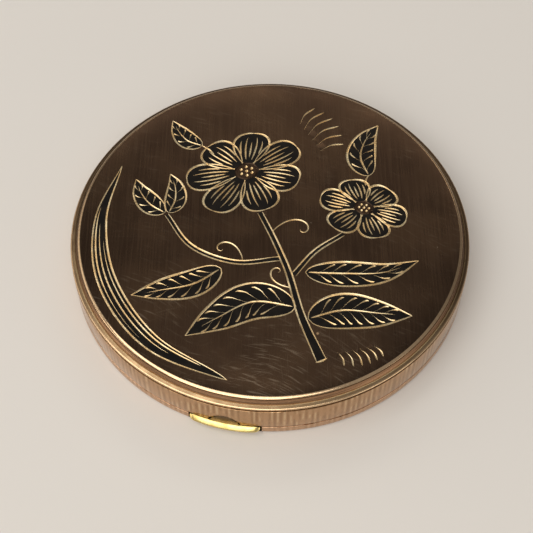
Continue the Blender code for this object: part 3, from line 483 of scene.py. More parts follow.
def make_silvered_glass():
    material, tree, shader, place = start_material("silvered_plate_glass", "EDF0F1", 0.02)
    haze = add(tree, "TexNoise", {"Vector": place, "Scale": 1 / (9 * MM), "Detail": 4.0, "Roughness": 0.6})
    vary_gloss(tree, shader, haze, 0.012, 0.09, 0.45, 0.8)
    powder = add(tree, "TexNoise", {"Vector": place, "Scale": 1 / (0.5 * MM), "Detail": 1.0})
    tone = mottled(tree, powder, 0.72, 0.78, "EDF0F1", "D8CFC6", 0.5)
    tree.links.new(tone, shader.inputs["Base Color"])
    return material


def make_ground_edge():
    material, tree, shader, place = start_material("ground_glass_edge", "A9B8B0", 0.35, 0.0)
    grit = add(tree, "TexNoise", {"Vector": place, "Scale": 1 / (0.15 * MM)})
    relief(tree, shader, grit, 0.01 * MM, 0.5)
    return material


def make_card():
    material, tree, shader, place = start_material("grey_mill_card", "8C857A", 0.92, 0.0)
    fibre = add(tree, "TexNoise", {"Vector": place, "Scale": 1 / (0.3 * MM), "Detail": 4.0, "Roughness": 0.7})
    tree.links.new(mottled(tree, fibre, 0.35, 0.7, "7F786E", "9A9387"), shader.inputs["Base Color"])
    relief(tree, shader, fibre, 0.03 * MM)
    return material


SILVERED_GLASS = make_silvered_glass()
GROUND_EDGE = make_ground_edge()
GREY_CARD = make_card()
print("for the mirror:", SILVERED_GLASS.name, GROUND_EDGE.name, GREY_CARD.name)

# %% [markdown]
# The puff is cotton velour: a short cut pile that drinks light, with a soft sheen along its edge. A
# pile could be grown as hair, but at this size it reads as a fine grain, so noise and the shader's
# sheen give it. Its ribbon is rayon satin, whose long floats run along the strip, and both are sewn
# with cotton. The sifter is a nylon gauze in a pressed frame: two waves at right angles are its
# threads, drawn at 0.3 mm, near the real spacing of face-powder gauze. A wave texture repeats every
# 0.314 of a unit, and its scale allows for that.

# %% Velour, satin and gauze
GAUZE_THREAD = 0.3 * MM
WAVE_PERIOD = 0.314


def make_velour():
    material, tree, shader, place = start_material(
        "cotton_velour", "E3C2B2", 0.95, 0.0, Sheen_Weight=0.8, Sheen_Roughness=0.4, Sheen_Tint="FFF1EA"
    )
    pile = add(tree, "TexNoise", {"Vector": place, "Scale": 1 / (0.34 * MM), "Detail": 3.0, "Roughness": 0.7})
    nap = add(tree, "TexNoise", {"Vector": place, "Scale": 1 / (3.2 * MM), "Detail": 3.0, "Roughness": 0.6})
    powder = add(tree, "TexNoise", {"Vector": place, "Scale": 1 / (11 * MM), "Detail": 4.0, "Roughness": 0.6})
    tone = mottled(tree, nap, 0.34, 0.66, "DDB8A9", "E9CBBE")
    tone = mottled(tree, pile, 0.3, 0.7, tone, "B68F80", 0.0, 0.6)
    tone = mottled(tree, powder, 0.5, 0.8, tone, "EACFB8", 0.35)
    tree.links.new(tone, shader.inputs["Base Color"])
    relief(tree, shader, pile, 0.2 * MM)
    return material


def make_satin():
    material, tree, shader, place = start_material(
        "rayon_satin_ribbon", "D69A92", 0.34, 0.0, Sheen_Weight=0.3
    )
    run = add(tree, "Mapping", {"Vector": place, "Scale": (1 / (3.0 * MM), 1 / (0.12 * MM), 1.0)})
    floats = add(tree, "TexNoise", {"Vector": run, "Scale": 1.0})
    tree.links.new(mottled(tree, floats, 0.35, 0.65, "CC8B84", "DCA199"), shader.inputs["Base Color"])
    vary_gloss(tree, shader, floats, 0.30, 0.48)
    relief(tree, shader, floats, 0.02 * MM)
    return material


def make_thread():
    material, tree, shader, place = start_material("cotton_thread", "C07C76", 0.7, 0.0, Sheen_Weight=0.2)
    twist = add(tree, "TexNoise", {"Vector": place, "Scale": 1 / (0.12 * MM)})
    tree.links.new(mottled(tree, twist, 0.35, 0.65, "B26E68", "D08E87"), shader.inputs["Base Color"])
    relief(tree, shader, twist, 0.02 * MM)
    return material


def make_gauze():
    material, tree, shader, place = start_material("nylon_gauze", "E9DCCB", 0.6, 0.0)
    pitch = {"Vector": place, "Scale": WAVE_PERIOD / GAUZE_THREAD}
    warp, weft = (add(tree, "TexWave", pitch, "Fac", bands_direction=axis) for axis in "XY")
    weave = add(tree, "Math", {0: warp, 1: weft}, operation="MAXIMUM")
    tree.links.new(mottled(tree, weave, 0.4, 0.8, "BFA894", "F1E6D8"), shader.inputs["Base Color"])
    relief(tree, shader, weave, 0.08 * MM)
    return material


VELOUR = make_velour()
SATIN = make_satin()
THREAD = make_thread()
GAUZE = make_gauze()
FRAME_TIN = make_worn_metal("pressed_tin_frame", "DCCBA4", "B7A279", 0.42, 3.0 * MM)
print(len(bpy.data.materials), "materials so far")

# %% [markdown]
# Most pieces of a compact are turned or spun, so the main tool is a lathe: a profile of radius and
# height points, spun about the axis. Blender's Screw modifier could spin it, but here each stretch of
# the profile also carries the number of its material, so the faces are made in a loop. The piece is
# then shaded smooth, with its folds kept sharp, and rides on a body of the frame.

# %% The lathe


def corner(radius, height, size, start, end, count=7):
    """Points on a rounded corner of a profile: angles in degrees from outward toward up."""
    turns = [math.radians(start + (end - start) * i / (count - 1)) for i in range(count)]
    return [(radius + size * math.cos(t), height + size * math.sin(t)) for t in turns]


def as_piece(name, mesh, body, materials, sharp=32):
    """Links a mesh as a piece of the object that rides on a body."""
    piece = bpy.data.objects.new(name, mesh)
    bpy.context.scene.collection.objects.link(piece)
    for material in materials:
        mesh.materials.append(material)
    mesh.shade_smooth()
    mesh.set_sharp_from_angle(angle=math.radians(sharp))
    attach(piece, body)
    return piece


def lathe_form(profile, steps=TURN_STEPS, slots=None):
    """Spins a profile about Z. Slots gives each stretch of the profile its material's number."""
    form = bmesh.new()
    closed = profile[0][0] > 0
    rings = []
    for radius, height in profile:
        if radius < 1e-9:
            rings.append([form.verts.new((0, 0, height))])
            continue
        turns = [2 * math.pi * i / steps for i in range(steps)]
        rings.append([form.verts.new((radius * math.cos(t), radius * math.sin(t), height)) for t in turns])
    count = len(rings) if closed else len(rings) - 1
    for k in range(count):
        one, two = rings[k], rings[(k + 1) % len(rings)]
        for i in range(steps):
            j = (i + 1) % steps
            if len(one) == 1:
                corners = (one[0], two[i], two[j])
            elif len(two) == 1:
                corners = (one[i], two[0], one[j])
            else:
                corners = (one[i], two[i], two[j], one[j])
            face = form.faces.new(corners)
            face.material_index = slots[k] if slots else 0
    bmesh.ops.recalc_face_normals(form, faces=form.faces)
    return form


def mesh_of(name, form):
    """Turns a form into a mesh, and frees the form."""
    mesh = bpy.data.meshes.new(name)
    form.to_mesh(mesh)
    form.free()
    return mesh


def turned(name, profile, body, materials, steps=TURN_STEPS, slots=None, sharp=32):
    """A turned piece of the object."""
    return as_piece(name, mesh_of(name, lathe_form(profile, steps, slots)), body, materials, sharp)


# %% [markdown]
# Other pieces, and all the cutters, start as a flat outline with a thickness, or as a block. What
# follows the round wall, such as a hinge leaf, is a stretch of a ring.

# %% Flat forms and blocks


def flat_form(outline, thickness):
    """A flat closed outline in the XY plane, with thickness about that plane."""
    form = bmesh.new()
    low = [form.verts.new((x, y, -thickness / 2)) for x, y in outline]
    high = [form.verts.new((x, y, thickness / 2)) for x, y in outline]
    form.faces.new(low[::-1])
    form.faces.new(high)
    for i in range(len(outline)):
        j = (i + 1) % len(outline)
        form.faces.new((low[i], low[j], high[j], high[i]))
    bmesh.ops.recalc_face_normals(form, faces=form.faces)
    return form


def box_form(low, high):
    """A block between its lowest and its highest corner."""
    low, high = Vector(low), Vector(high)
    form = bmesh.new()
    bmesh.ops.create_cube(form, size=1)
    bmesh.ops.scale(form, vec=high - low, verts=form.verts)
    bmesh.ops.translate(form, vec=(low + high) / 2, verts=form.verts)
    return form


def arc_outline(inner, outer, middle, half_angle, count=41):
    """The outline of a stretch of a ring, in plan."""
    angles = [middle - half_angle + 2 * half_angle * i / (count - 1) for i in range(count)]
    outside = [(outer * math.cos(a), outer * math.sin(a)) for a in angles]
    inside = [(inner * math.cos(a), inner * math.sin(a)) for a in reversed(angles)]
    return outside + inside


def arc_block(inner, outer, middle, half_angle, low, high, count=41):
    """A stretch of a ring between two heights."""
    form = flat_form(arc_outline(inner, outer, middle, half_angle, count), high - low)
    bmesh.ops.translate(form, vec=(0, 0, (high + low) / 2), verts=form.verts)
    return form


# %% [markdown]
# Slots, notches and joined arms could be worked into each mesh point by point. A Boolean modifier does
# it from plain forms instead, and this helper applies it at once, so that later steps see the finished
# mesh. Small edges are rounded by a bevel that keeps flat faces flat in the light.

# %% Carving and rounding


def carve(mesh, *tools, operation="DIFFERENCE"):
    """Cuts the tools' forms out of a mesh, or joins them to it, and gives the new mesh."""
    scene = bpy.context.scene.collection.objects
    work = bpy.data.objects.new("carved", mesh)
    scene.link(work)
    helpers = []
    for form in tools:
        tool = bpy.data.objects.new("tool", mesh_of("tool", form))
        scene.link(tool)
        helpers.append(tool)
        step = work.modifiers.new("step", "BOOLEAN")
        step.operation, step.solver, step.object = operation, "EXACT", tool
    bpy.context.view_layer.update()
    result = bpy.data.meshes.new_from_object(work.evaluated_get(bpy.context.evaluated_depsgraph_get()))
    for done in (work, *helpers):
        bpy.data.objects.remove(done, do_unlink=True)
    return result


def soften(piece, width, segments=3, angle=40):
    """Rounds a piece's sharp edges with a bevel."""
    step = piece.modifiers.new("rounded edges", "BEVEL")
    step.width, step.segments, step.limit_method = width, segments, "ANGLE"
    step.angle_limit = math.radians(angle)
    step.harden_normals = True


# %% [markdown]
# ## The engraving
#
# Compacts of this kind often carry cut ornament. This one is a generic spray of wild flowers, drawn
# the way an engraver works: every line is one stroke that swells and tapers. It could be colour alone,
# but a real cut catches the light on its slopes, so the strokes are made as geometry. A stroke is a
# centre line with a half width at each point. The drawing is in millimetres, seen from above, and it
# is turned a little at the end, as the brushing is.

# %% Strokes of the graver
cuts = []
grounds = []


def smooth_line(points, count=24):
    """A smooth line through a few points: a Catmull-Rom spline."""
    p = np.array(points, float)
    p = np.vstack([2 * p[0] - p[1], p, 2 * p[-1] - p[-2]])
    line = []
    for u in np.linspace(0, len(p) - 3, count):
        i = min(int(u), len(p) - 4)
        t = u - i
        a, b, c, d = p[i:i + 4]
        square, cube = 2 * a - 5 * b + 4 * c - d, 3 * b - a - 3 * c + d
        line.append(0.5 * (2 * b + (c - a) * t + square * t ** 2 + cube * t ** 3))
    return np.array(line)


def sideways(line):
    """The unit vector to the left of a line, at each of its points."""
    run = np.gradient(np.array(line), axis=0)
    run /= np.linalg.norm(run, axis=1)[:, None]
    return np.stack([-run[:, 1], run[:, 0]], axis=1)


def cut(line, width, swell=0.5, ends=0.0):
    """One stroke. It is widest at the share swell of its length, and tapers toward its ends."""
    t = np.linspace(0, 1, len(line)) ** (math.log(0.5) / math.log(swell))
    half = width / 2 * (ends + (1 - ends) * np.sin(np.pi * t) ** 0.7)
    cuts.append((np.array(line, float), half))


# %% [markdown]
# Leaves, blades of grass and petals are black grounds between two outline cuts, with veins or grain
# inside. Each is worked out from its base, its tip and its width, so the veins always stay inside
# the leaf, at a share of its width there.

# %% Leaves and blades


def leaf(base, tip, bow, width, veins, hook=0.0, weight=0.46):
    """A pointed leaf: black ground, two outline cuts, a midrib and side veins."""
    base, tip = np.array(base, float), np.array(tip, float)
    run = tip - base
    left = np.array([-run[1], run[0]])
    bends = [base, base + run * 0.33 + left * bow, base + run * 0.68 + left * bow * 0.75, tip + left * hook]
    rib = smooth_line(bends, 41)
    t = np.linspace(0, 1, len(rib))
    full = t ** 0.6 * (1 - t) ** 1.05
    full *= width / 2 / full.max()
    side = sideways(rib)
    upper, lower = rib + side * full[:, None], rib - side * full[:, None] * 1.1
    grounds.append(np.vstack([upper, lower[::-1][1:-1]]))
    cut(upper, weight, 0.42, 0.3)
    cut(lower, weight, 0.62, 0.3)
    cut(rib[1:34], weight * 0.85, 0.25, 0.0)
    for j in range(veins):
        at = int(4 + 24 * j / max(veins - 1, 1))
        for hand, edge in ((1, 1.0), (-1, 1.1)):
            line = []
            for u in np.linspace(0, 1, 9):
                here = min(at + 6 * u ** 0.8 + hand * 0.6, 39.0)
                i = int(here)
                spot = rib[i] + (rib[i + 1] - rib[i]) * (here - i)
                wide = (full[i] + (full[i + 1] - full[i]) * (here - i)) * edge
                reach = 0.05 + 0.73 * math.sin(u * math.pi / 2) ** 1.1
                line.append(spot + hand * side[i] * wide * reach)
            cut(line, weight * 0.82, 0.8)


def blade(points, width, strokes=3, weight=0.38):
    """A long blade of grass: black ground between two cuts, with long grain strokes."""
    line = smooth_line(points, 72)
    t = np.linspace(0, 1, len(line))
    full = width / 2 * np.sin(np.pi * t ** 0.8) ** 0.9
    side = sideways(line)
    upper, lower = line + side * full[:, None], line - side * full[:, None]
    grounds.append(np.vstack([upper, lower[::-1][1:-1]]))
    cut(upper, weight, 0.4, 0.3)
    cut(lower, weight, 0.6, 0.3)
    for k in range(strokes):
        share = -0.55 + 1.1 * k / max(strokes - 1, 1)
        first, last = 6 + 7 * k, 58 - 5 * ((strokes - 1 - k) % 3)
        grain = line[first:last] + side[first:last] * (full[first:last] * share)[:, None]
        cut(grain, weight * 0.8, 0.3 + 0.18 * k)


# %% [markdown]
# An open flower seen at a slant is a ring of petals, squeezed along one axis and leaned over. Each
# petal is a black ground between two cuts, with fine grain inside, and a ring of punched dots makes
# the button in the middle.

# %% Petals and flowers


def slanted(centre, lean, x, y):
    """A point of a flower's own drawing, leaned and moved to the flower's centre."""
    c, s = math.cos(lean), math.sin(lean)
    return np.array([centre[0] + x * c - y * s, centre[1] + x * s + y * c])


def petal(centre, turn, length, width, squeeze, lean, inner):
    """One petal of an open flower, seen at a slant: squeezed along one axis."""
    s = np.sin(np.linspace(0, 1, 25) * math.pi / 2) ** 1.15
    along = inner + (length - inner) * s
    half = (0.1 + s) ** 0.85 * (1 - s) ** 0.42
    half *= width / 2 / half.max()

    def place(a, h):
        x = a * math.cos(turn) - h * math.sin(turn)
        y = (a * math.sin(turn) + h * math.cos(turn)) * squeeze
        return slanted(centre, lean, x, y)

    upper = np.array([place(a, h) for a, h in zip(along, half)])
    lower = np.array([place(a, -h) for a, h in zip(along, half)])
    grounds.append(np.vstack([upper, lower[::-1][1:]]))
    cut(upper, 0.46, 0.62, 0.3)
    cut(lower, 0.46, 0.62, 0.3)
    grain = ((-0.6, 0.3, 0.74), (-0.3, 0.12, 0.86), (0.0, 0.2, 0.7), (0.3, 0.12, 0.86), (0.6, 0.3, 0.74))
    for share, first, reach in grain:
        steps = [inner + (length - inner) * u for u in np.linspace(first, reach, 11)]
        cut([place(a, float(np.interp(a, along, half)) * share) for a in steps], 0.34, 0.4)


def dot(centre, size):
    """A round punch mark."""
    ends = [np.array(centre) + np.array([d * size, 0]) for d in (-0.5, 0, 0.5)]
    cut(smooth_line(ends, 7), size * 1.1, 0.5)


def blossom(centre, radius, count, squeeze, lean, turn, core):
    """An open flower: petals round a small button of dots."""
    for k in range(count):
        stretch = 1 + 0.06 * math.sin(5 * k + turn)
        width = 2 * math.pi * radius / count * 0.7
        petal(centre, turn + 2 * math.pi * k / count, radius * stretch, width, squeeze, lean, radius * core)
    r = radius * core * 0.95
    ring = np.linspace(0, 2 * math.pi, 33)
    cut([slanted(centre, lean, r * math.cos(a), r * squeeze * math.sin(a)) for a in ring], 0.36, 0.5, 1.0)
    dot(centre, r * 0.3)
    for k in range(6):
        a = 2 * math.pi * k / 6 + 0.3
        dot(slanted(centre, lean, 0.55 * r * math.cos(a), 0.55 * r * squeeze * math.sin(a)), r * 0.28)


# %% [markdown]
# What joins and fills: a stem is two cuts side by side, a tendril is one cut that curls in toward its
# tip, and hatching is a fan of short strokes, which engravers use for light.

# %% Stems, tendrils and hatching


def stem(points, width=0.9, foot=0.6, count=40):
    """Two cuts side by side with black ground between them, wider at the foot."""
    line = smooth_line(points, count)
    t = np.linspace(0, 1, count)
    half = (width + foot * (1 - t) ** 3) / 2
    side = sideways(line)
    a, b = line + side * half[:, None], line - side * half[:, None]
    grounds.append(np.vstack([a, b[::-1]]))
    cut(a, 0.34, 0.4, 0.3)
    cut(b, 0.34, 0.6, 0.3)


def tendril(start, turn, reach, coils, hand, weight=0.34):
    """A curling tendril whose turns draw in toward its tip."""
    line = [np.array(start, float)]
    heading, steps = turn, 56
    for k in range(steps):
        t = k / steps
        heading += hand * 2 * math.pi * coils / steps * (0.25 + 1.5 * t ** 1.3)
        line.append(line[-1] + reach / steps * (1.25 - t) * np.array([math.cos(heading), math.sin(heading)]))
    cut(line, weight, 0.35, 0.1)


def hatch(start, end, count, length, turn, grow=0.0, weight=0.36, bend=0.12):
    """A fan of short tapered strokes side by side, as engravers use for light."""
    start, end = np.array(start, float), np.array(end, float)
    for k in range(count):
        t = k / max(count - 1, 1)
        foot = start + (end - start) * t
        a = turn + grow * t
        reach = length * (0.62 + 0.38 * math.sin(math.pi * (0.15 + 0.75 * t)))
        tip = foot + reach * np.array([math.cos(a), math.sin(a)])
        middle = (foot + tip) / 2 + bend * reach * np.array([-math.sin(a), math.cos(a)])
        cut(smooth_line([foot, middle, tip], 13), weight, 0.75)


# %% [markdown]
# The spray itself: a main stem with two branches, two open flowers, a pair of young leaves, large
# leaves on both sides, a long blade of grass along the left edge, and a few tendrils and fans of
# hatching.

# %% The spray
stem([(9.5, -30.5), (6.0, -21), (3.6, -11), (0.8, -3), (-2.0, 3.6)], 1.0, 0.9)
cut(smooth_line([(8.4, -31.0), (9.6, -30.6), (10.6, -30.0)], 9), 0.42)
stem([(4.6, -11.4), (9.0, -5.8), (14.6, -1.7)], 0.85, 0.2, 24)
stem([(2.0, -7.6), (-7.0, -8.4), (-15.6, -4.6), (-20.8, 3.1)], 0.8, 0.2, 28)
blossom((-4.8, 14.2), 12.2, 7, 0.86, 0.35, 0.25, 0.2)
blossom((19.0, 4.8), 8.8, 6, 0.82, -0.4, 0.1, 0.22)
leaf((-21.2, 3.6), (-27.8, 11.8), 0.1, 4.4, 4, -0.04, 0.38)
leaf((-20.4, 3.6), (-20.0, 13.4), -0.1, 4.0, 4, 0.05, 0.38)
leaf((7.2, -21.4), (27.0, -21.8), 0.1, 7.4, 7, 0.05)
leaf((4.9, -18.8), (-15.6, -26.4), -0.18, 7.8, 7, -0.06)
leaf((-9.6, -9.9), (-27.0, -15.4), 0.1, 5.8, 6, 0.04)
leaf((6.9, -10.8), (29.2, -10.4), -0.02, 5.4, 6, 0.1)
leaf((20.4, 13.0), (22.4, 26.6), 0.16, 5.6, 5, -0.04)
leaf((-14.2, 21.0), (-20.6, 27.8), 0.14, 4.0, 4, 0.0, 0.36)
cut(smooth_line([(-11.6, 18.6), (-12.8, 20.0), (-14.4, 21.1)], 9), 0.4, 0.4)
cut(smooth_line([(19.6, 10.4), (19.7, 11.8), (20.4, 13.2)], 9), 0.4, 0.4)
hatch((6.4, 26.8), (10.6, 19.6), 6, 7.0, 0.95, -0.6, 0.38)
hatch((12.6, -28.8), (19.4, -27.4), 6, 3.8, -1.2, 0.3, 0.34)
tendril((0.4, -1.2), 0.95, 16, 1.1, -1)
tendril((-5.4, -7.8), 1.75, 13.0, 1.1, 1)
tendril((4.0, -14.4), 3.0, 12, 1.1, -1)
blade([(-8.0, -34.6), (-22.5, -26.4), (-31.6, -13.0), (-34.0, 1.8), (-30.6, 15.6)], 3.6, 3)
print(len(cuts), "cuts and", len(grounds), "black grounds")

# %% [markdown]
# ## From drawing to metal
#
# The drawing becomes real relief. All outlines go into one constrained triangulation of the plate, so
# every line of the drawing is an edge of the mesh. Each stroke's centre line then sinks to make a
# V-shaped groove, as a graver cuts it, and the black grounds lie a hair below the plate. A material
# number on each face says whether it is lacquer, bright cut or enamel.

# %% The drawing as outlines
GROOVE_SLOPE = 0.42
GROUND_DEPTH = 0.03 * MM
DOME_POWER = 20
LEAST_HALF_WIDTH = 0.012
EDGE_RING_SHARES = (0.90, 0.93, 0.955, 0.975, 0.99)
LACQUER, CUT, ENAMEL, RIM, SHADED_CREASE, SLOPE, SHOULDER_HIGHLIGHT, BEAD, SIDE, INSIDE = range(10)


def dome(radius):
    """The height of the lid's top at a distance from its middle: nearly flat, rolling off at its edge."""
    return PLATE_EDGE_TOP + DOME_RISE * (1 - (radius / PLATE_RADIUS) ** DOME_POWER)


def to_plate(points):
    """Drawing points in millimetres, turned as the plate is and made metres."""
    c, s = math.cos(PLATE_TURN), math.sin(PLATE_TURN)
    return np.array(points) @ np.array([[c, s], [-s, c]]) * MM


def plate_drawing():
    """The points, edges and faces that the triangulation takes, and each point's groove depth."""
    points, edges, faces, kinds, depths = [], [], [], [], []

    def outline(loop, kind):
        x, y = np.array(loop).T
        if np.dot(x, np.roll(y, -1)) < np.dot(y, np.roll(x, -1)):
            loop = loop[::-1]
        first = len(points)
        points.extend(loop)
        depths.extend([0.0] * len(loop))
        faces.append(list(range(first, first + len(loop))))
        kinds.append(kind)

    turns = [2 * math.pi * i / TURN_STEPS for i in range(TURN_STEPS)]
    outline([(PLATE_RADIUS * math.cos(t), PLATE_RADIUS * math.sin(t)) for t in turns], LACQUER)
    for ground in grounds:
        outline([tuple(p) for p in to_plate(ground)], ENAMEL)
    for line, half in cuts:
        side = sideways(line)
        blunt = np.maximum(half, LEAST_HALF_WIDTH)
        left, right = to_plate(line + side * blunt[:, None]), to_plate(line - side * blunt[:, None])
        outline([tuple(p) for p in np.vstack([left, right[::-1]])], CUT)
        first = len(points)
        points.extend(tuple(p) for p in to_plate(line))
        depths.extend(half * MM * GROOVE_SLOPE)
        edges.extend((i, i + 1) for i in range(first, first + len(line) - 1))
    shares = [(ring / 15, 8 * ring) for ring in range(1, 14)] + [(share, 180) for share in EDGE_RING_SHARES]
    for ring, (share, count) in enumerate(shares, 1):
        radius = PLATE_RADIUS * share
        for i in range(count):
            t = 2 * math.pi * (i + 0.37 * ring) / count
            points.append((radius * math.cos(t), radius * math.sin(t)))
            depths.append(0.0)
    return points, edges, faces, kinds, depths


# %% [markdown]
# The triangulation keeps count of which outline each triangle came from. Where a cut crosses a ground,
# the cut wins. A point that touches only grounds sinks by the enamel's depth, and a point on a centre
# line by its groove's, so the edges of the drawing stay crisp.

# %% The engraved plate


def engraved_plate():
    """The plate's top as a form: a disc of triangles with the drawing cut into it."""
    points, edges, faces, kinds, depths = plate_drawing()
    flat, _, triangles, origins, _, owners = delaunay_2d_cdt(
        [Vector(p) for p in points], edges, faces, 1, 1e-7, True
    )
    slots = []
    for owner in owners:
        found = {kinds[f] for f in owner}
        slots.append(CUT if CUT in found else ENAMEL if ENAMEL in found else LACQUER)
    in_ground = [any(kinds[f] == ENAMEL for f in owner) for owner in owners]
    open_air = np.zeros(len(flat), bool)
    for triangle, inside in zip(triangles, in_ground):
        if not inside:
            open_air[list(triangle)] = True
    form = bmesh.new()
    made = []
    for i, p in enumerate(flat):
        depth = max((depths[o] for o in origins[i]), default=0.0)
        depth += 0.0 if open_air[i] else GROUND_DEPTH
        made.append(form.verts.new((p.x, p.y, dome(p.length) - depth)))
    for triangle, slot in zip(triangles, slots):
        face = form.faces.new([made[i] for i in triangle])
        face.material_index = slot
        if face.normal.z < 0:
            face.normal_flip()
    print(len(flat), "points and", len(triangles), "triangles on the plate")
    return form


# %% [markdown]
# The rest of the lid is one drawn shell: a rounded rim, a stepped channel, a bead, a groove and the
# deep skirt. It could be one line made solid, but inside the steps are plainer than outside, so the
# profile is drawn right round, and each stretch of it names its finish. The small steps are given in
# millimetres outward of the plate's edge and below it.

# %% The lid's profile
RIM_ROUND = 0.4 * MM
RIM_LINE = ((0.08, 0.012), (0.18, 0.040), (0.28, 0.085), (0.38, 0.140), (0.46, 0.205), (0.52, 0.27))
RIM_CREASE = ((0.53, 0.40), (0.56, 0.44), (0.62, 0.44))
RIM_SLOPE = ((0.66, 0.51), (0.83, 0.88), (0.88, 0.93), (0.92, 0.99), (1.07, 1.30), (1.12, 1.35))
GROOVE = ((1.76, 2.00), (1.71, 2.08), (1.70, 2.16), (1.74, 2.22), (2.03, 2.42))
BEAD_START = 1.32 * MM
BEAD_TOP = PLATE_EDGE_TOP - 1.24 * MM
BEAD_FALL = 0.20 * MM
BEAD_SHOULDER = 0.15 * MM
BEAD_ROUND = 0.26 * MM
BEAD_SET_IN = 0.03 * MM
BEAD_FLAT = 0.02 * MM
SKIRT_ROUND = 0.12 * MM
SIDE_START = 2.55 * MM
CHANNEL_TOP = PLATE_EDGE_TOP - 0.9 * MM
BEAD_RADIUS = 0.58 * MM
BEAD_HEIGHT = PLATE_EDGE_TOP - 1.4 * MM
GROOVE_DEPTH = 0.4 * MM
GROOVE_WIDTH = 0.4 * MM
UNDER_SET_IN = 0.1 * MM


def rim_points(steps):
    """Points of the rim, given in millimetres outward of the plate's edge and below it."""
    return [(PLATE_RADIUS + out * MM, PLATE_EDGE_TOP - down * MM) for out, down in steps]


def shell_profile():
    """The lid's profile outward over the rim, down the skirt and back inside, with material numbers."""
    groove_height = BEAD_HEIGHT - BEAD_RADIUS
    bead_edge = CASE_RADIUS - BEAD_SET_IN - BEAD_ROUND
    bead_middle = BEAD_TOP - BEAD_FALL - BEAD_ROUND
    side = CASE_RADIUS - SKIRT_ROUND
    back = CASE_RADIUS - GROOVE_DEPTH
    inner = CASE_RADIUS - SHEET
    under = PLATE_EDGE_TOP - SHEET
    shelf = CHANNEL_TOP - SHEET
    channel = [(back - SHEET, CHANNEL_TOP - 1.8 * SHEET), (back - 1.7 * SHEET, CHANNEL_TOP - 1.6 * SHEET)]
    stretches = [
        (LACQUER, [(0, LID_TOP), (PLATE_RADIUS, PLATE_EDGE_TOP)]),
        # The rim and the bead's outer round are painted lighter toward the front, as a highlight.
        (RIM, rim_points(RIM_LINE)),
        # The crease beside the rim and the groove under the bead are painted dark, as shade.
        (SHADED_CREASE, rim_points(RIM_CREASE)),
        # The slope is painted lighter toward the front, as a highlight.
        (SLOPE, rim_points(RIM_SLOPE)),
        # The bead's inner shoulder is a painted highlight.
        (SHOULDER_HIGHLIGHT, corner(PLATE_RADIUS + BEAD_START, BEAD_TOP - BEAD_SHOULDER, BEAD_SHOULDER, 160, 72, 7)),
        (BEAD, [(bead_edge + BEAD_FLAT, bead_middle + BEAD_ROUND)]),
        (RIM, corner(bead_edge, bead_middle, BEAD_ROUND, 77, -42, 13)),
        (SHADED_CREASE, rim_points(GROOVE)),
        (SIDE, corner(side, PLATE_EDGE_TOP - SIDE_START, SKIRT_ROUND, 60, 0, 4)),
        (SIDE, corner(side, SKIRT_BOTTOM + SKIRT_ROUND, SKIRT_ROUND, 0, -90, 5)),
        (INSIDE, [(inner, SKIRT_BOTTOM), (inner, groove_height - GROOVE_WIDTH - SHEET)]),
        (INSIDE, [(back - SHEET, groove_height), *channel]),
        (INSIDE, [(PLATE_RADIUS + RIM_ROUND, shelf), (PLATE_RADIUS + RIM_ROUND - SHEET, shelf)]),
        (INSIDE, corner(PLATE_RADIUS - RIM_ROUND - UNDER_SET_IN, under - RIM_ROUND, RIM_ROUND, 0, 90, 5)),
        (INSIDE, [(0, under + DOME_RISE)]),
    ]
    profile, slots = [], []
    for slot, points in stretches:
        profile += points
        slots += [slot] * len(points)
    slots = slots[1:] + [INSIDE]
    return profile, slots


print("the lid's profile has", len(shell_profile()[0]), "points")

# %% [markdown]
# At the front the skirt has a notch that the thumb bar sits in, and above its middle an arch for the
# bar's ear. Both follow the bar's own box, with the gap that a moving piece needs.

# %% Notch and arch
BAR_LOW, BAR_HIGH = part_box("latch_thumb_bar")
BAR_DEPTH = 1.45 * MM
BAR_OUTER = -BAR_LOW.y
BAR_INNER = BAR_OUTER - BAR_DEPTH
BAR_HALF_ANGLE = math.radians(9.8)
BAR_TOP = BASE_TOP + SEAT_GAP
EAR_WIDTH = 5.8 * MM
EAR_TOP = BAR_HIGH.z
ARCH_FULLNESS_SHARE = 0.8
FRONT = -math.pi / 2


def bar_notch(inner, outer, low, high, count=61):
    """A cutter that follows the round wall and is as wide as the thumb bar with its gaps."""
    return arc_block(inner, outer, FRONT, BAR_HALF_ANGLE + SEAT_GAP / CASE_RADIUS, low, high, count)


def arch(width, foot, top, root, count=25):
    """A hump that flares at its foot, as an outline in X and Z, with a straight root below it."""
    outline = []
    for i in range(count):
        across = -width / 2 + width * i / (count - 1)
        rise = math.cos(math.pi * across / width) ** ARCH_FULLNESS_SHARE if 0 < i < count - 1 else 0
        outline.append((across, foot + (top - foot) * rise))
    return outline + [(width / 2, root), (-width / 2, root)]


def upright(outline, thickness, depth_y):
    """A flat outline in X and Z, stood up with its middle plane at a depth along Y."""
    form = flat_form(outline, thickness)
    bmesh.ops.rotate(form, verts=form.verts, matrix=Matrix.Rotation(math.pi / 2, 3, "X"))
    bmesh.ops.translate(form, vec=(0, depth_y, 0), verts=form.verts)
    bmesh.ops.recalc_face_normals(form, faces=form.faces)
    return form


print(f"arch {EAR_WIDTH / MM:.1f} mm wide, up to {EAR_TOP / MM:.2f} mm")

# %% [markdown]
# The shell is spun, and the notch and the arch are cut. Then its plain top gives way to the engraved
# plate, which shares its edge point for point, so the two become one closed skin.

# %% The lid


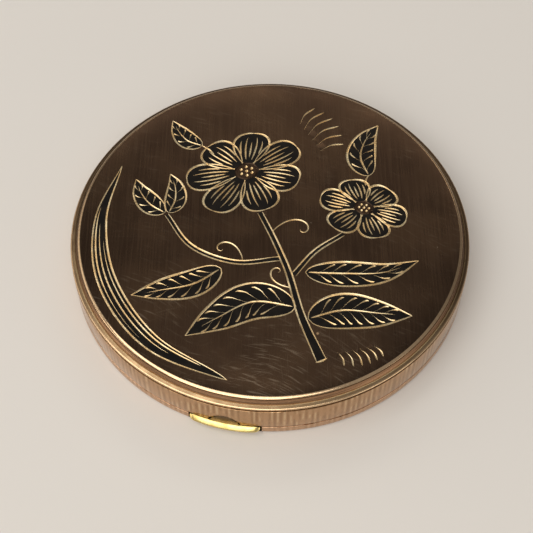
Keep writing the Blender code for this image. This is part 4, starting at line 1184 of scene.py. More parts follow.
def make_lid():
    profile, slots = shell_profile()
    mesh = mesh_of("lid", lathe_form(profile, TURN_STEPS, slots))
    notch_top = BAR_TOP + SEAT_GAP
    inner, outer = CASE_RADIUS - SHEET - OVERRUN, CASE_RADIUS + OVERRUN
    notch = bar_notch(inner, outer, SKIRT_BOTTOM - OVERRUN, notch_top)
    hump = arch(EAR_WIDTH + 2 * SEAT_GAP, notch_top, EAR_TOP + SEAT_GAP, BAR_TOP - SEAT_GAP)
    opening = upright(hump, SHEET + 2 * OVERRUN, -(CASE_RADIUS - SHEET / 2))
    mesh = carve(mesh, notch, opening)
    form = bmesh.new()
    form.from_mesh(mesh)
    plain = [f for f in form.faces if f.material_index == LACQUER]
    bmesh.ops.delete(form, geom=plain, context="FACES")
    form.from_mesh(mesh_of("plate", engraved_plate()))
    bmesh.ops.remove_doubles(form, verts=form.verts, dist=1e-7)
    loose = [v for v in form.verts if not v.link_faces]
    bmesh.ops.delete(form, geom=loose, context="VERTS")
    open_edges = sum(1 for e in form.edges if len(e.link_faces) != 2)
    mesh = mesh_of("lid_dressed", form)
    finishes = [
        BRONZED_PLATE, CUT_BRASS, BLACK_ENAMEL, RIM_PAINTED_HIGHLIGHT, CREASE_SHADE, TURNED_COPPER, PAINTED_EDGE_HIGHLIGHT,
        BEAD_BRONZE, ROSE_GOLD_SIDE, SPUN_GILT,
    ]
    lid = as_piece("lid_engraved", mesh, "lid", finishes, 20)
    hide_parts("lid_shell")
    print("lid:", len(mesh.polygons), "faces,", open_edges, "open edges")


make_lid()

# %% [markdown]
# ## The base, the thumb bar and the hinge
#
# The base is a shallow drawn pan. Its wall is the lowest strip of the side, and underneath it has a
# foot ring, so that the compact stands on a narrow band. It is turned, like the lid, and notched.

# %% The base
BASE_ROUND = 0.7 * MM
WALL_ROUND = 0.1 * MM
FOOT_INSET = 4.5 * MM
FOOT_HEIGHT = 0.15 * MM


def make_base():
    inner = CASE_RADIUS - SHEET
    foot = CASE_RADIUS - FOOT_INSET
    profile = [(0, SHEET), (inner, SHEET), (inner, BASE_TOP)]
    profile += corner(CASE_RADIUS - WALL_ROUND, BASE_TOP - WALL_ROUND, WALL_ROUND, 90, 0, 4)
    profile += corner(CASE_RADIUS - BASE_ROUND, BASE_ROUND, BASE_ROUND, 0, -90, 9)
    profile += corner(foot + FOOT_HEIGHT, FOOT_HEIGHT, FOOT_HEIGHT, 270, 180, 4)
    profile += [(foot - FOOT_HEIGHT, FOOT_HEIGHT), (0, FOOT_HEIGHT)]
    slots = [1] * 2 + [0] * (len(profile) - 2)
    mesh = mesh_of("base", lathe_form(profile, TURN_STEPS, slots))
    mesh = carve(mesh, bar_notch(inner - OVERRUN, CASE_RADIUS + OVERRUN, SHEET, BASE_TOP + OVERRUN))
    base = as_piece("base_pan", mesh, "case", [ROSE_GOLD_BASE, SPUN_GILT], 30)
    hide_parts("base_shell")
    print("base:", len(mesh.polygons), "faces")


make_base()

# %% [markdown]
# The thumb bar is solid brass, rounded all over, with a sloped and slightly convex face. A bent block with a
# bevel could do, but the real bar draws in toward its ends. So its cross section is set again and again along
# an arc, and each copy shrinks toward the bar's heart as the end comes near. An ear on top fills the arch in
# the lid, painted darker than the bar, as shade.

# %% The thumb bar
BAR_FACE_RADIUS = 3.4 * MM
BAR_FACE_START, BAR_FACE_END = 40, 57
BAR_FACE_SET_IN = 0.04 * MM
BAR_FACE_DROP = 0.02 * MM
BAR_NOSE = 0.14 * MM
BAR_SHELF = 0.5 * MM
BAR_TOP_EDGE = 0.07 * MM
BAR_HEART_IN, BAR_HEART_DOWN = 0.35 * MM, 0.5 * MM
BAR_END_ROUND = 1.2 * MM
BAR_DRAW_IN_SHARE = 0.26
BAR_STEPS = 81
EAR_THICKNESS = 0.4 * MM
EAR_RECESS = 0.1 * MM
EAR_FOOT = 0.12 * MM
EAR_ROOT = 0.85 * MM


def bar_section():
    """The bar's cross section as radius and height points: a small nose below a sloped face."""
    face = corner(0, 0, BAR_FACE_RADIUS, BAR_FACE_START, BAR_FACE_END, 9)
    out = BAR_OUTER - BAR_FACE_SET_IN - face[0][0]
    up = BAR_TOP - BAR_FACE_DROP - face[-1][1]
    face = [(radius + out, height + up) for radius, height in face]
    turn = math.radians(BAR_FACE_START)
    tip = (face[0][0] - BAR_NOSE * math.cos(turn), face[0][1] - BAR_NOSE * math.sin(turn))
    section = [(BAR_INNER, BAR_LOW.z), (BAR_OUTER - BAR_SHELF, BAR_LOW.z)]
    section += corner(*tip, BAR_NOSE, -60, 30, 8) + face
    return section + [(face[-1][0] - BAR_TOP_EDGE, BAR_TOP), (BAR_INNER, BAR_TOP)]


def bar_form():
    """The section along an arc, drawn in and rounded toward both ends."""
    section = bar_section()
    heart_r, heart_z = BAR_INNER + BAR_HEART_IN, BAR_TOP - BAR_HEART_DOWN
    end_round = BAR_END_ROUND / BAR_OUTER
    form = bmesh.new()
    rings = []
    for i in range(BAR_STEPS):
        turn = -BAR_HALF_ANGLE * math.cos(math.pi * i / (BAR_STEPS - 1))
        left = min(1.0, (BAR_HALF_ANGLE - abs(turn)) / end_round)
        share = 0.25 + 0.75 * math.sqrt(1 - (1 - left) ** 2)
        slim = 1 - BAR_DRAW_IN_SHARE * abs(turn / BAR_HALF_ANGLE) ** 4
        ring = []
        for radius, height in section:
            r = BAR_INNER + (radius - BAR_INNER) * slim
            r = heart_r + (r - heart_r) * share
            z = heart_z + (height - heart_z) * share
            ring.append(form.verts.new((r * math.sin(turn), -r * math.cos(turn), z)))
        rings.append(ring)
    for one, two in zip(rings, rings[1:]):
        for k in range(len(section)):
            j = (k + 1) % len(section)
            form.faces.new((one[k], one[j], two[j], two[k]))
    form.faces.new(rings[0])
    form.faces.new(rings[-1][::-1])
    bmesh.ops.recalc_face_normals(form, faces=form.faces)
    return form


def make_thumb_bar():
    hump = arch(EAR_WIDTH, BAR_TOP - EAR_FOOT, EAR_TOP, BAR_TOP - EAR_ROOT)
    ear = upright(hump, EAR_THICKNESS, -(CASE_RADIUS - EAR_RECESS - EAR_THICKNESS / 2))
    mesh = carve(mesh_of("bar", bar_form()), ear, operation="UNION")
    bar = as_piece("thumb_bar", mesh, "latch", [THUMB_BRASS, EAR_SHADE], 30)
    # The ear's upright front faces take the darker brass: painted shade.
    for face in mesh.polygons:
        if face.normal.y < -0.99 and face.center.z > BAR_TOP:
            face.material_index = 1
    soften(bar, 0.05 * MM, 2, 45)
    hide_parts("latch_thumb_bar")
    print("thumb bar:", len(mesh.polygons), "faces")


make_thumb_bar()

# %% [markdown]
# The main hinge is a row of five knuckles on a pin, soldered to the back. The CAD knuckles are coarse,
# so each leaf is rebuilt here from its own box: a curved plate that hugs the shell, and smooth
# knuckles with a chamfer at each end, threaded on a pin that is chamfered too.

# %% The main hinge
HINGE_LOW, HINGE_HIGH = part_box("hinge_pin")
HINGE_Y = (HINGE_LOW.y + HINGE_HIGH.y) / 2
HINGE_Z = (HINGE_LOW.z + HINGE_HIGH.z) / 2
KNUCKLE_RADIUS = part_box("lid_hinge_leaf")[1].y - HINGE_Y
KNUCKLE_WIDTH = 3.4 * MM
KNUCKLE_COUNT = 5
BORE_RADIUS = 0.75 * MM
LEAF_SHEET = 0.4 * MM
KNUCKLE_CHAMFER = 0.12 * MM
PIN_CHAMFER = 0.15 * MM
ROOT_REACH = 0.25 * MM
ROOT_INSET = 0.1 * MM


def rod_along_x(radius, start, end, y, z, chamfer, steps=40):
    """A solid rod along X with chamfered ends."""
    profile = [(0, start), (radius - chamfer, start), (radius, start + chamfer)]
    profile += [(radius, end - chamfer), (radius - chamfer, end), (0, end)]
    form = lathe_form(profile, steps)
    bmesh.ops.rotate(form, verts=form.verts, matrix=Matrix.Rotation(math.pi / 2, 3, "Y"))
    bmesh.ops.translate(form, vec=(0, y, z), verts=form.verts)
    return form


def make_hinge_leaf(name, node, body, members, upward):
    """One leaf: its plate goes up the lid or down the base, and its knuckles are every other one."""
    low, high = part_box(node)
    hinge_width = KNUCKLE_COUNT * KNUCKLE_WIDTH + (KNUCKLE_COUNT - 1) * SEAT_GAP
    leaf_inner = CASE_RADIUS + SEAT_GAP
    leaf_outer = leaf_inner + LEAF_SHEET
    half_angle = math.asin(hinge_width / 2 / leaf_outer)
    stand_off = math.sqrt((KNUCKLE_RADIUS + SEAT_GAP) ** 2 - (HINGE_Y - leaf_outer) ** 2)
    bottom = HINGE_Z + stand_off if upward else low.z
    top = high.z if upward else HINGE_Z - stand_off
    root = bottom + LEAF_SHEET if upward else top - LEAF_SHEET
    near = HINGE_Z + (ROOT_REACH if upward else -ROOT_REACH)
    mesh = mesh_of(name, arc_block(leaf_inner, leaf_outer, math.pi / 2, half_angle, bottom, top))
    joined = []
    for index in members:
        middle = (index - (KNUCKLE_COUNT - 1) / 2) * (KNUCKLE_WIDTH + SEAT_GAP)
        left, right = middle - KNUCKLE_WIDTH / 2, middle + KNUCKLE_WIDTH / 2
        joined.append(rod_along_x(KNUCKLE_RADIUS, left, right, HINGE_Y, HINGE_Z, KNUCKLE_CHAMFER))
        joined.append(box_form(
            (left + ROOT_INSET, leaf_inner + ROOT_INSET, min(near, root)),
            (right - ROOT_INSET, HINGE_Y, max(near, root)),
        ))
    mesh = carve(mesh, *joined, operation="UNION")
    mesh = carve(mesh, rod_along_x(BORE_RADIUS, -hinge_width, hinge_width, HINGE_Y, HINGE_Z, 0.0))
    leaf_piece = as_piece(name, mesh, body, [ROSE_GOLD_RIM], 30)
    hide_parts(node)


def make_hinge_rod():
    radius = (HINGE_HIGH.z - HINGE_LOW.z) / 2
    form = rod_along_x(radius, HINGE_LOW.x, HINGE_HIGH.x, HINGE_Y, HINGE_Z, PIN_CHAMFER)
    pin = as_piece("hinge_rod", mesh_of("hinge_rod", form), "case", [GILT_BRASS], 30)
    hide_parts("hinge_pin")


make_hinge_leaf("hinge_leaf_of_lid", "lid_hinge_leaf", "lid", range(1, KNUCKLE_COUNT, 2), True)
make_hinge_leaf("hinge_leaf_of_base", "base_hinge_leaf", "case", range(0, KNUCKLE_COUNT, 2), False)
make_hinge_rod()
print(f"hinge: {KNUCKLE_COUNT} knuckles on a rod {(HINGE_HIGH.x - HINGE_LOW.x) / MM:.1f} mm long")

# %% [markdown]
# ## Inside the case
#
# The collar stands in the base and the lid's skirt closes over it. It is a plain turned ring with a
# rounded top edge, cut at the front for the thumb bar and, higher up, for the catch.

# %% The collar
COLLAR_OUTER, COLLAR_BOTTOM, COLLAR_TOP = span("inner_collar")
COLLAR_SHEET = 0.5 * MM
KEEPER_WIDTH = 5.8 * MM
SLOT_WIDTH = KEEPER_WIDTH + 2 * SEAT_GAP


def make_collar():
    inner = COLLAR_OUTER - COLLAR_SHEET
    middle, half = (COLLAR_OUTER + inner) / 2, COLLAR_SHEET / 2
    profile = [(inner, COLLAR_BOTTOM), (COLLAR_OUTER, COLLAR_BOTTOM)]
    profile += corner(middle, COLLAR_TOP - half, half, 0, 180, 9)
    mesh = mesh_of("collar", lathe_form(profile))
    window = bar_notch(inner - OVERRUN, COLLAR_OUTER + OVERRUN, 0, BAR_TOP + SEAT_GAP, 41)
    slot_cut = box_form(
        (-SLOT_WIDTH / 2, -COLLAR_OUTER - OVERRUN, COLLAR_BOTTOM - OVERRUN),
        (SLOT_WIDTH / 2, -inner + OVERRUN, COLLAR_TOP + OVERRUN),
    )
    collar = as_piece("collar_ring", carve(mesh, window, slot_cut), "case", [SPUN_GILT], 30)
    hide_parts("inner_collar")


make_collar()
print(f"collar {(COLLAR_TOP - COLLAR_BOTTOM) / MM:.1f} mm high, with a slot of {SLOT_WIDTH / MM:.1f} mm")

# %% [markdown]
# The well is a pan pressed from one sheet, with a wide flange that rests on the collar. Pressing
# leaves a small radius at every fold, so the profile turns each corner on an arc. The powder lies in
# the deep middle, and the sifter rests on the ledge round it, with the puff on top.

# %% The well
FLANGE_OUTER, WELL_BOTTOM, FLANGE_TOP = span("powder_well")
WELL_SHEET = 0.4 * MM
WELL_RADIUS = 30.5 * MM
WELL_BEND = 0.3 * MM
SUMP_RADIUS = WELL_RADIUS - 1.7 * MM
SUMP_BEND = 0.8 * MM
LEDGE_TOP = WELL_BOTTOM + WELL_SHEET + 2.1 * MM
SLOT_BACK = 36.0 * MM


def make_well():
    outer, sump_outer = WELL_RADIUS + WELL_SHEET, SUMP_RADIUS + WELL_SHEET
    floor = WELL_BOTTOM + WELL_SHEET
    bend, lip = WELL_BEND, WELL_SHEET / 2
    profile = [(0, floor)]
    profile += corner(SUMP_RADIUS - SUMP_BEND, floor + SUMP_BEND, SUMP_BEND, -90, 0, 7)
    profile += corner(SUMP_RADIUS + bend, LEDGE_TOP - bend, bend, 180, 90, 5)
    profile += corner(WELL_RADIUS - bend, LEDGE_TOP + bend, bend, -90, 0, 5)
    profile += corner(WELL_RADIUS + bend, FLANGE_TOP - bend, bend, 180, 90, 5)
    profile += corner(FLANGE_OUTER - lip, FLANGE_TOP - lip, lip, 90, -90, 7)
    profile += [(outer, FLANGE_TOP - WELL_SHEET), (outer, LEDGE_TOP - WELL_SHEET)]
    profile += [(sump_outer, LEDGE_TOP - WELL_SHEET)]
    profile += corner(sump_outer - SUMP_BEND, WELL_BOTTOM + SUMP_BEND, SUMP_BEND, 0, -90, 7)
    profile += [(0, WELL_BOTTOM)]
    slot_cut = box_form(
        (-SLOT_WIDTH / 2, -FLANGE_OUTER - OVERRUN, FLANGE_TOP - WELL_SHEET - OVERRUN),
        (SLOT_WIDTH / 2, -SLOT_BACK, FLANGE_TOP + OVERRUN),
    )
    mesh = carve(mesh_of("well", lathe_form(profile)), slot_cut)
    well = as_piece("powder_pan", mesh, "case", [SPUN_GILT], 30)
    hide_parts("powder_well")


make_well()
print(f"well {2 * WELL_RADIUS / MM:.0f} mm across, {(FLANGE_TOP - WELL_BOTTOM) / MM:.1f} mm deep")

# %% [markdown]
# The sifter is a pressed ring with a raised bead that grips the gauze. The gauze sags a touch at its
# middle, as nylon does after years of dabbing.

# %% Sifter
SIFTER_WIDTH = 2.4 * MM
SAG_SHARES = (0, 0.3, 0.6, 0.85, 1)


def make_sifter():
    outer, bottom, top = span("sifter_ring")
    inner = outer - SIFTER_WIDTH
    rise = top - bottom
    middle = (inner + outer) / 2
    profile = [(inner, bottom), (outer, bottom), (outer, bottom + rise * 0.45)]
    profile += [(middle + rise, bottom + rise * 0.5)]
    profile += corner(middle, bottom + rise * 0.5, rise * 0.5, 0, 180, 9)
    profile += [(middle - rise, bottom + rise * 0.5), (inner, bottom + rise * 0.45)]
    ring = turned("sifter_frame", profile, "case", [FRAME_TIN], 160)
    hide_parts("sifter_ring")
    radius, low, high = span("sifter_gauze")
    half = (high - low) / 4
    heights = [(share, low + (high - low) * (0.35 + 0.4 * share ** 2)) for share in SAG_SHARES]
    profile = [(radius * share, z + half) for share, z in heights]
    profile += [(radius * share, z - half) for share, z in reversed(heights)]
    gauze = turned("sifter_net", profile, "case", [GAUZE], 96)
    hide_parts("sifter_gauze")


make_sifter()
print(f"sifter frame {SIFTER_WIDTH / MM:.1f} mm wide, gauze {2 * span('sifter_gauze')[0] / MM:.1f} mm across")

# %% [markdown]
# ## The puff
#
# A powder puff is two discs of velour sewn face to face over a thin wadding and turned. Cloth
# simulation fills it: a flat disc of two layers, blown up with a little air while its seam holds. The
# simulation runs at a hundred times the real size, because the solver is tuned for clothes. A plain
# dome could stand in for it, but the cloth finds by itself how fast the fullness falls to the seam.

# %% Inflate the puff
PUFF_SCALE = 100
PUFF_FRAMES = 18


def puff_form(radius, thickness, rings=20, steps=144):
    """A closed two-layer disc, thinnest at its seam."""
    form = bmesh.new()
    turns = [2 * math.pi * i / steps for i in range(steps)]
    layers = []
    for hand in (1, -1):
        layer = [[form.verts.new((0, 0, hand * thickness / 2))]]
        for ring in range(1, rings):
            share = ring / rings
            lift = hand * thickness / 2 * math.sqrt(1 - share ** 2) ** 0.5
            r = radius * share
            layer.append([form.verts.new((r * math.cos(t), r * math.sin(t), lift)) for t in turns])
        layers.append(layer)
    seam = [form.verts.new((radius * math.cos(t), radius * math.sin(t), 0)) for t in turns]
    for layer in layers:
        layer.append(seam)
        for i in range(steps):
            j = (i + 1) % steps
            form.faces.new((layer[0][0], layer[1][i], layer[1][j]))
            for k in range(1, len(layer) - 1):
                form.faces.new((layer[k][i], layer[k + 1][i], layer[k + 1][j], layer[k][j]))
    bmesh.ops.recalc_face_normals(form, faces=form.faces)
    return form


def inflate(mesh, pressure, cap):
    """Blows a closed mesh up with Blender's cloth, lets no point move further than cap, and applies it."""
    scene = bpy.context.scene
    rest = np.array([v.co for v in mesh.vertices])
    work = bpy.data.objects.new("inflating", mesh)
    scene.collection.objects.link(work)
    step = work.modifiers.new("cloth", "CLOTH")
    settings = step.settings
    settings.quality = 6
    settings.mass = 0.3
    settings.tension_stiffness = 25
    settings.compression_stiffness = 25
    settings.bending_stiffness = 2
    settings.use_pressure = True
    settings.uniform_pressure_force = pressure
    settings.effector_weights.gravity = 0
    for number in range(1, PUFF_FRAMES + 1):
        scene.frame_set(number)
    shaped = work.evaluated_get(bpy.context.evaluated_depsgraph_get())
    moved = np.array([v.co for v in shaped.data.vertices])
    scene.frame_set(1)
    bpy.data.objects.remove(work, do_unlink=True)
    shift = moved - rest
    reach = np.linalg.norm(shift, axis=1)
    shift *= np.minimum(1, cap / np.maximum(reach, 1e-9))[:, None]
    print(f"puff: points moved {reach.mean():.2f} on average and {reach.max():.2f} at most, scaled")
    return rest + shift


# %% [markdown]
# The result is brought back to the space that the CAD gives the puff: highest in the middle, with
# dents of use and the small gathers that its seam draws in. A twisted cord covers the seam. Its strands
# could each be a tube, but their ridges alone show, so one tube swells and shrinks as it goes round.

# %% Seam cord and crown
PUFF_MIDDLE = sum(span("powder_puff")[1:]) / 2
PUFF_FALL = 0.50
PUFF_DENT = 0.08
PUCKERS = 38
PUCKER_DEPTH = 0.36
CORD_RADIUS = 0.34 * MM


def twisted_ring(radius, thickness, strands=210, steps=840, sides=10):
    """A ring of twisted cord, which covers the puff's seam."""
    form = bmesh.new()
    rings = []
    for i in range(steps):
        turn = 2 * math.pi * i / steps
        ring = []
        for k in range(sides):
            round_it = 2 * math.pi * k / sides
            r = thickness * (0.87 + 0.13 * math.cos(strands * turn + 2 * round_it))
            out = radius + r * math.cos(round_it)
            height = PUFF_MIDDLE + r * math.sin(round_it)
            ring.append(form.verts.new((out * math.cos(turn), out * math.sin(turn), height)))
        rings.append(ring)
    for i in range(steps):
        one, two = rings[i], rings[(i + 1) % steps]
        for k in range(sides):
            j = (k + 1) % sides
            form.faces.new((one[k], two[k], two[j], one[j]))
    bmesh.ops.recalc_face_normals(form, faces=form.faces)
    return form


def puff_crown(x, y, radius):
    """The share of its height that the puff keeps at a place: crowned, dented and puckered."""
    share = math.hypot(x, y) / radius
    crown = 1 - PUFF_FALL * share ** 2.5
    dents = 0.5 + noise.noise(Vector((x, y, 3.7 * MM)) / (9 * MM))
    turn = math.atan2(y, x)
    around = Vector((3 * math.cos(turn), 3 * math.sin(turn), 1.3))
    drawn = math.sin(PUCKERS * turn + 2.4 * noise.noise(around))
    edge = min(max((share - 0.68) / 0.24, 0), 1)
    return crown - PUFF_DENT * min(max(dents, 0), 1) - PUCKER_DEPTH * edge * (0.5 + 0.5 * drawn)


# %% [markdown]
# The puff is softer than anything else here, so it gets no sharp edge and one subdivision more.

# %% The puff
PUFF_PROUD = 0.25 * MM
PUFF_PRESSURE = 3.0


def make_puff():
    radius, low, high = span("powder_puff")
    thickness = high - low
    start = mesh_of("puff", puff_form(radius * PUFF_SCALE, thickness * PUFF_SCALE * 0.55))
    points = inflate(start, PUFF_PRESSURE, thickness * PUFF_SCALE * 0.8)
    spread = np.linalg.norm(points[:, :2], axis=1).max()
    points[:, :2] *= (radius - CORD_RADIUS) / spread
    lift = points[:, 2].max() - points[:, 2].min()
    points[:, 2] *= (thickness + PUFF_PROUD) * 0.99 / lift
    points[:, 2] += low - points[:, 2].min() + thickness * 0.005
    for i, (x, y, z) in enumerate(points):
        if z > PUFF_MIDDLE:
            points[i, 2] = PUFF_MIDDLE + (z - PUFF_MIDDLE) * puff_crown(x, y, radius)
    start.vertices.foreach_set("co", points.astype(np.float32).ravel())
    puff = as_piece("velour_puff", start, "case", [VELOUR], 180)
    ring = mesh_of("puff_cord", twisted_ring(radius - CORD_RADIUS, CORD_RADIUS))
    cord = as_piece("puff_cord", ring, "case", [THREAD], 60)
    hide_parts("powder_puff")
    smooth = puff.modifiers.new("soft", "SUBSURF")
    smooth.levels = smooth.render_levels = 1
    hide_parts("powder_puff")
    return puff


PUFF = make_puff()
print("puff:", len(PUFF.data.vertices), "points before subdivision")

# %% [markdown]
# The ribbon lies across the puff as a handle, sewn down at both ends. It is a thin strip, a little
# arched so that a finger fits under it, with soft folds across it and a firmer edge on both sides.
# Each end is turned under and held to the puff with a row of small stitches.

# %% The ribbon
INNER_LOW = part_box("inner_lid_plate")[0]
SEAM_CLEARANCE = 0.02 * MM
RIBBON_CLEARANCE = 0.12 * MM
RIBBON_SHEET = 0.1 * MM
RIBBON_CREST = INNER_LOW.z - RIBBON_CLEARANCE - RIBBON_SHEET
RIBBON_ALONG, RIBBON_ACROSS = 121, 17
TURNED_UNDER = 1.1 * MM
GATHERED = 2.2 * MM
SELVEDGE = 0.04 * MM
CREST_DROP = 0.12 * MM
EDGE_DROP = 0.30 * MM
FOLD_RISE = 0.16 * MM
FOLD_LENGTH, FOLD_WIDTH = 2.6 * MM, 9 * MM


def puff_top(x, y):
    """The height of the puff's upper face at a place on it, read from its finished points."""
    upper = (v.co for v in PUFF.data.vertices if v.co.z > PUFF_MIDDLE)
    return min(upper, key=lambda c: math.hypot(c.x - x, c.y - y)).z


def ribbon_point(low, high, u, v, edge):
    """A point of the ribbon's underside, at a share u of its length and v of its width."""
    length, width = high.x - low.x, high.y - low.y
    x = low.x + length * u
    lift = math.sin(math.pi / 2 * min(1.0, 5.0 * min(u, 1 - u))) ** 2
    from_end = length * min(u, 1 - u)
    doubled = RIBBON_SHEET if from_end < TURNED_UNDER else 0.0
    narrow = 1 - 0.10 * math.exp(-(from_end / GATHERED) ** 2)
    y = (low.y + high.y) / 2 + width * (v - 0.5) * narrow
    fold = noise.noise(Vector((x / FOLD_LENGTH, y / FOLD_WIDTH, 8.1)))
    resting = puff_top(x, y) + SEAM_CLEARANCE
    arched = RIBBON_CREST - CREST_DROP - EDGE_DROP * (2 * v - 1) ** 4 + FOLD_RISE * fold
    z = resting + (max(arched, resting) - resting) * lift + edge + doubled
    return x, y, min(z, RIBBON_CREST)


def ribbon_form(low, high):
    """The strip as a closed form: two layers of points, and faces round all its sides."""
    form = bmesh.new()
    along, across = RIBBON_ALONG, RIBBON_ACROSS
    grid = {}
    for i in range(along):
        for j in range(across):
            edge = SELVEDGE if j in (0, 1, across - 2, across - 1) else 0.0
            x, y, z = ribbon_point(low, high, i / (along - 1), j / (across - 1), edge)
            grid[0, i, j] = form.verts.new((x, y, z))
            grid[1, i, j] = form.verts.new((x, y, z + RIBBON_SHEET))
    for i in range(along - 1):
        for j in range(across - 1):
            form.faces.new((grid[1, i, j], grid[1, i + 1, j], grid[1, i + 1, j + 1], grid[1, i, j + 1]))
            form.faces.new((grid[0, i, j], grid[0, i, j + 1], grid[0, i + 1, j + 1], grid[0, i + 1, j]))
    for i in range(along - 1):
        for j in (0, across - 1):
            form.faces.new((grid[0, i, j], grid[0, i + 1, j], grid[1, i + 1, j], grid[1, i, j]))
    for j in range(across - 1):
        for i in (0, along - 1):
            form.faces.new((grid[0, i, j], grid[1, i, j], grid[1, i, j + 1], grid[0, i, j + 1]))
    bmesh.ops.recalc_face_normals(form, faces=form.faces)
    return form


def make_ribbon(low, high):
    mesh = mesh_of("ribbon", ribbon_form(low, high))
    ribbon = as_piece("satin_ribbon", mesh, "case", [SATIN], 60)
    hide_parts("puff_ribbon")


make_ribbon(*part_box("puff_ribbon"))
print(f"ribbon arched to {(RIBBON_CREST + RIBBON_SHEET) / MM:.2f} mm, under the inner lid")

# %% [markdown]
# A few stitches of cotton hold each end. A stitch is a short round thread, flattened a little where it
# is pulled tight, and a row of them is one piece.

# %% Stitches
STITCHES = 6
STITCH_INSET = 0.55 * MM
STITCH_RADIUS = 0.09 * MM
STITCH_HALF = 0.36 * MM
STITCH_ROUND = 0.05 * MM
STITCH_RISE = 0.03 * MM


def make_stitches(low, high):
    rows = bmesh.new()
    for hand in (-1, 1):
        x = hand * (high.x - STITCH_INSET)
        for k in range(STITCHES):
            y = low.y + (high.y - low.y) * (k + 1) / (STITCHES + 1)
            z = puff_top(x, y) + SEAM_CLEARANCE + 2.4 * RIBBON_SHEET
            stitch = rod_along_x(STITCH_RADIUS, -STITCH_HALF, STITCH_HALF, 0, 0, STITCH_ROUND, 10)
            bmesh.ops.scale(stitch, vec=(1, 1, 0.8), verts=stitch.verts)
            bmesh.ops.translate(stitch, vec=(x, y, z + STITCH_RISE), verts=stitch.verts)
            part = mesh_of("stitch", stitch)
            rows.from_mesh(part)
            bpy.data.meshes.remove(part)
    thread = as_piece("ribbon_stitches", mesh_of("stitches", rows), "case", [THREAD], 60)
    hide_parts("puff_ribbon")


make_stitches(*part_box("puff_ribbon"))
print(2 * STITCHES, "stitches")

# %% [markdown]
# ## The inner lid
#
# A thin gilt disc keeps the powder in. It has a shallow raised ring, which stiffens it, and turns on
# its own little hinge at the back, where a coil spring lifts it.

# %% Inner lid
INNER_PIN_LOW, INNER_PIN_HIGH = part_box("inner_hinge_pin")
INNER_Y = (INNER_PIN_LOW.y + INNER_PIN_HIGH.y) / 2
INNER_Z = (INNER_PIN_LOW.z + INNER_PIN_HIGH.z) / 2
INNER_SHEET = 0.4 * MM
INNER_KNUCKLE = 0.6 * MM
INNER_CHAMFER = 0.05 * MM
INNER_BORE = 0.4 * MM
INNER_KNUCKLE_WIDTH = 1.8 * MM
INNER_SPRING_ROOM = 4.0 * MM
MOVING_KNUCKLE = INNER_SPRING_ROOM / 2 + INNER_KNUCKLE_WIDTH / 2
FIXED_KNUCKLE = MOVING_KNUCKLE + INNER_KNUCKLE_WIDTH + SEAT_GAP
INNER_HINGE_END = FIXED_KNUCKLE + INNER_KNUCKLE_WIDTH / 2
RING_INSET, RING_FOOT, RING_RISE = 4.6 * MM, 0.6 * MM, 0.12 * MM


def knuckle_pair(middle, rooted_low, rooted_high):
    """Forms for a knuckle and its arm on both sides of the middle."""
    forms = []
    for hand in (-1, 1):
        left = hand * middle - INNER_KNUCKLE_WIDTH / 2
        right = hand * middle + INNER_KNUCKLE_WIDTH / 2
        forms.append(rod_along_x(INNER_KNUCKLE, left, right, INNER_Y, INNER_Z, INNER_CHAMFER, 28))
        forms.append(box_form((left + ROOT_INSET, *rooted_low), (right - ROOT_INSET, *rooted_high)))
    return forms


def inner_bore():
    """A cutter for the pin of the little hinge."""
    reach = INNER_HINGE_END + OVERRUN
    return rod_along_x(INNER_BORE, -reach, reach, INNER_Y, INNER_Z, 0.0, 24)


def make_inner_lid():
    radius, bottom = -INNER_LOW.y, INNER_LOW.z
    top = bottom + INNER_SHEET
    face = top - RING_RISE
    half = (INNER_SHEET - RING_RISE) / 2
    profile = [(0, face), (radius - RING_INSET - RING_FOOT, face)]
    profile += corner(radius - RING_INSET, face, RING_RISE, 170, 10, 7)
    profile += [(radius - RING_INSET + RING_FOOT, face)]
    profile += corner(radius - half, bottom + half, half, 90, -90, 7)
    profile += [(0, bottom)]
    mesh = mesh_of("inner_lid", lathe_form(profile, 200))
    trim_y = INNER_Y - INNER_KNUCKLE - SEAT_GAP
    side = INNER_HINGE_END + SEAT_GAP
    mesh = carve(mesh, box_form((-side, trim_y, bottom - OVERRUN), (side, radius + OVERRUN, top + OVERRUN)))
    arms = knuckle_pair(MOVING_KNUCKLE, (trim_y - INNER_KNUCKLE, bottom), (INNER_Y, top))
    mesh = carve(carve(mesh, *arms, operation="UNION"), inner_bore())
    plate = as_piece("inner_lid_disc", mesh, "inner_lid", [SPUN_GILT], 30)
    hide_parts("inner_lid_plate")


make_inner_lid()
print(f"inner lid {-2 * INNER_LOW.y / MM:.1f} mm across")

# %% [markdown]
# The bracket is a strip of sheet soldered to the well's flange, with a knuckle at each end. The same
# helpers make it, so its knuckles line up with those of the inner lid, and a steel pin runs through.

# %% Bracket and pin
BRACKET_SHEET = 0.3 * MM
INNER_PIN_CHAMFER = 0.04 * MM


def make_inner_bracket():
    low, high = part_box("inner_hinge_bracket")
    top = low.z + BRACKET_SHEET
    front = INNER_Y + INNER_KNUCKLE + SEAT_GAP
    strip = mesh_of("bracket", box_form((low.x, front, low.z), (high.x, high.y, top)))
    arms = knuckle_pair(FIXED_KNUCKLE, (INNER_Y, low.z), (front + INNER_KNUCKLE, top))
    strip = carve(carve(strip, *arms, operation="UNION"), inner_bore())
    bracket = as_piece("inner_bracket", strip, "case", [GILT_BRASS], 30)
    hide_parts("inner_hinge_bracket")


def make_inner_rod():
    radius = (INNER_PIN_HIGH.z - INNER_PIN_LOW.z) / 2
    start, end = INNER_PIN_LOW.x, INNER_PIN_HIGH.x
    rod = rod_along_x(radius, start, end, INNER_Y, INNER_Z, INNER_PIN_CHAMFER, 20)
    pin = as_piece("inner_rod", mesh_of("inner_rod", rod), "case", [SPRING_STEEL], 30)
    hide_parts("inner_hinge_pin")


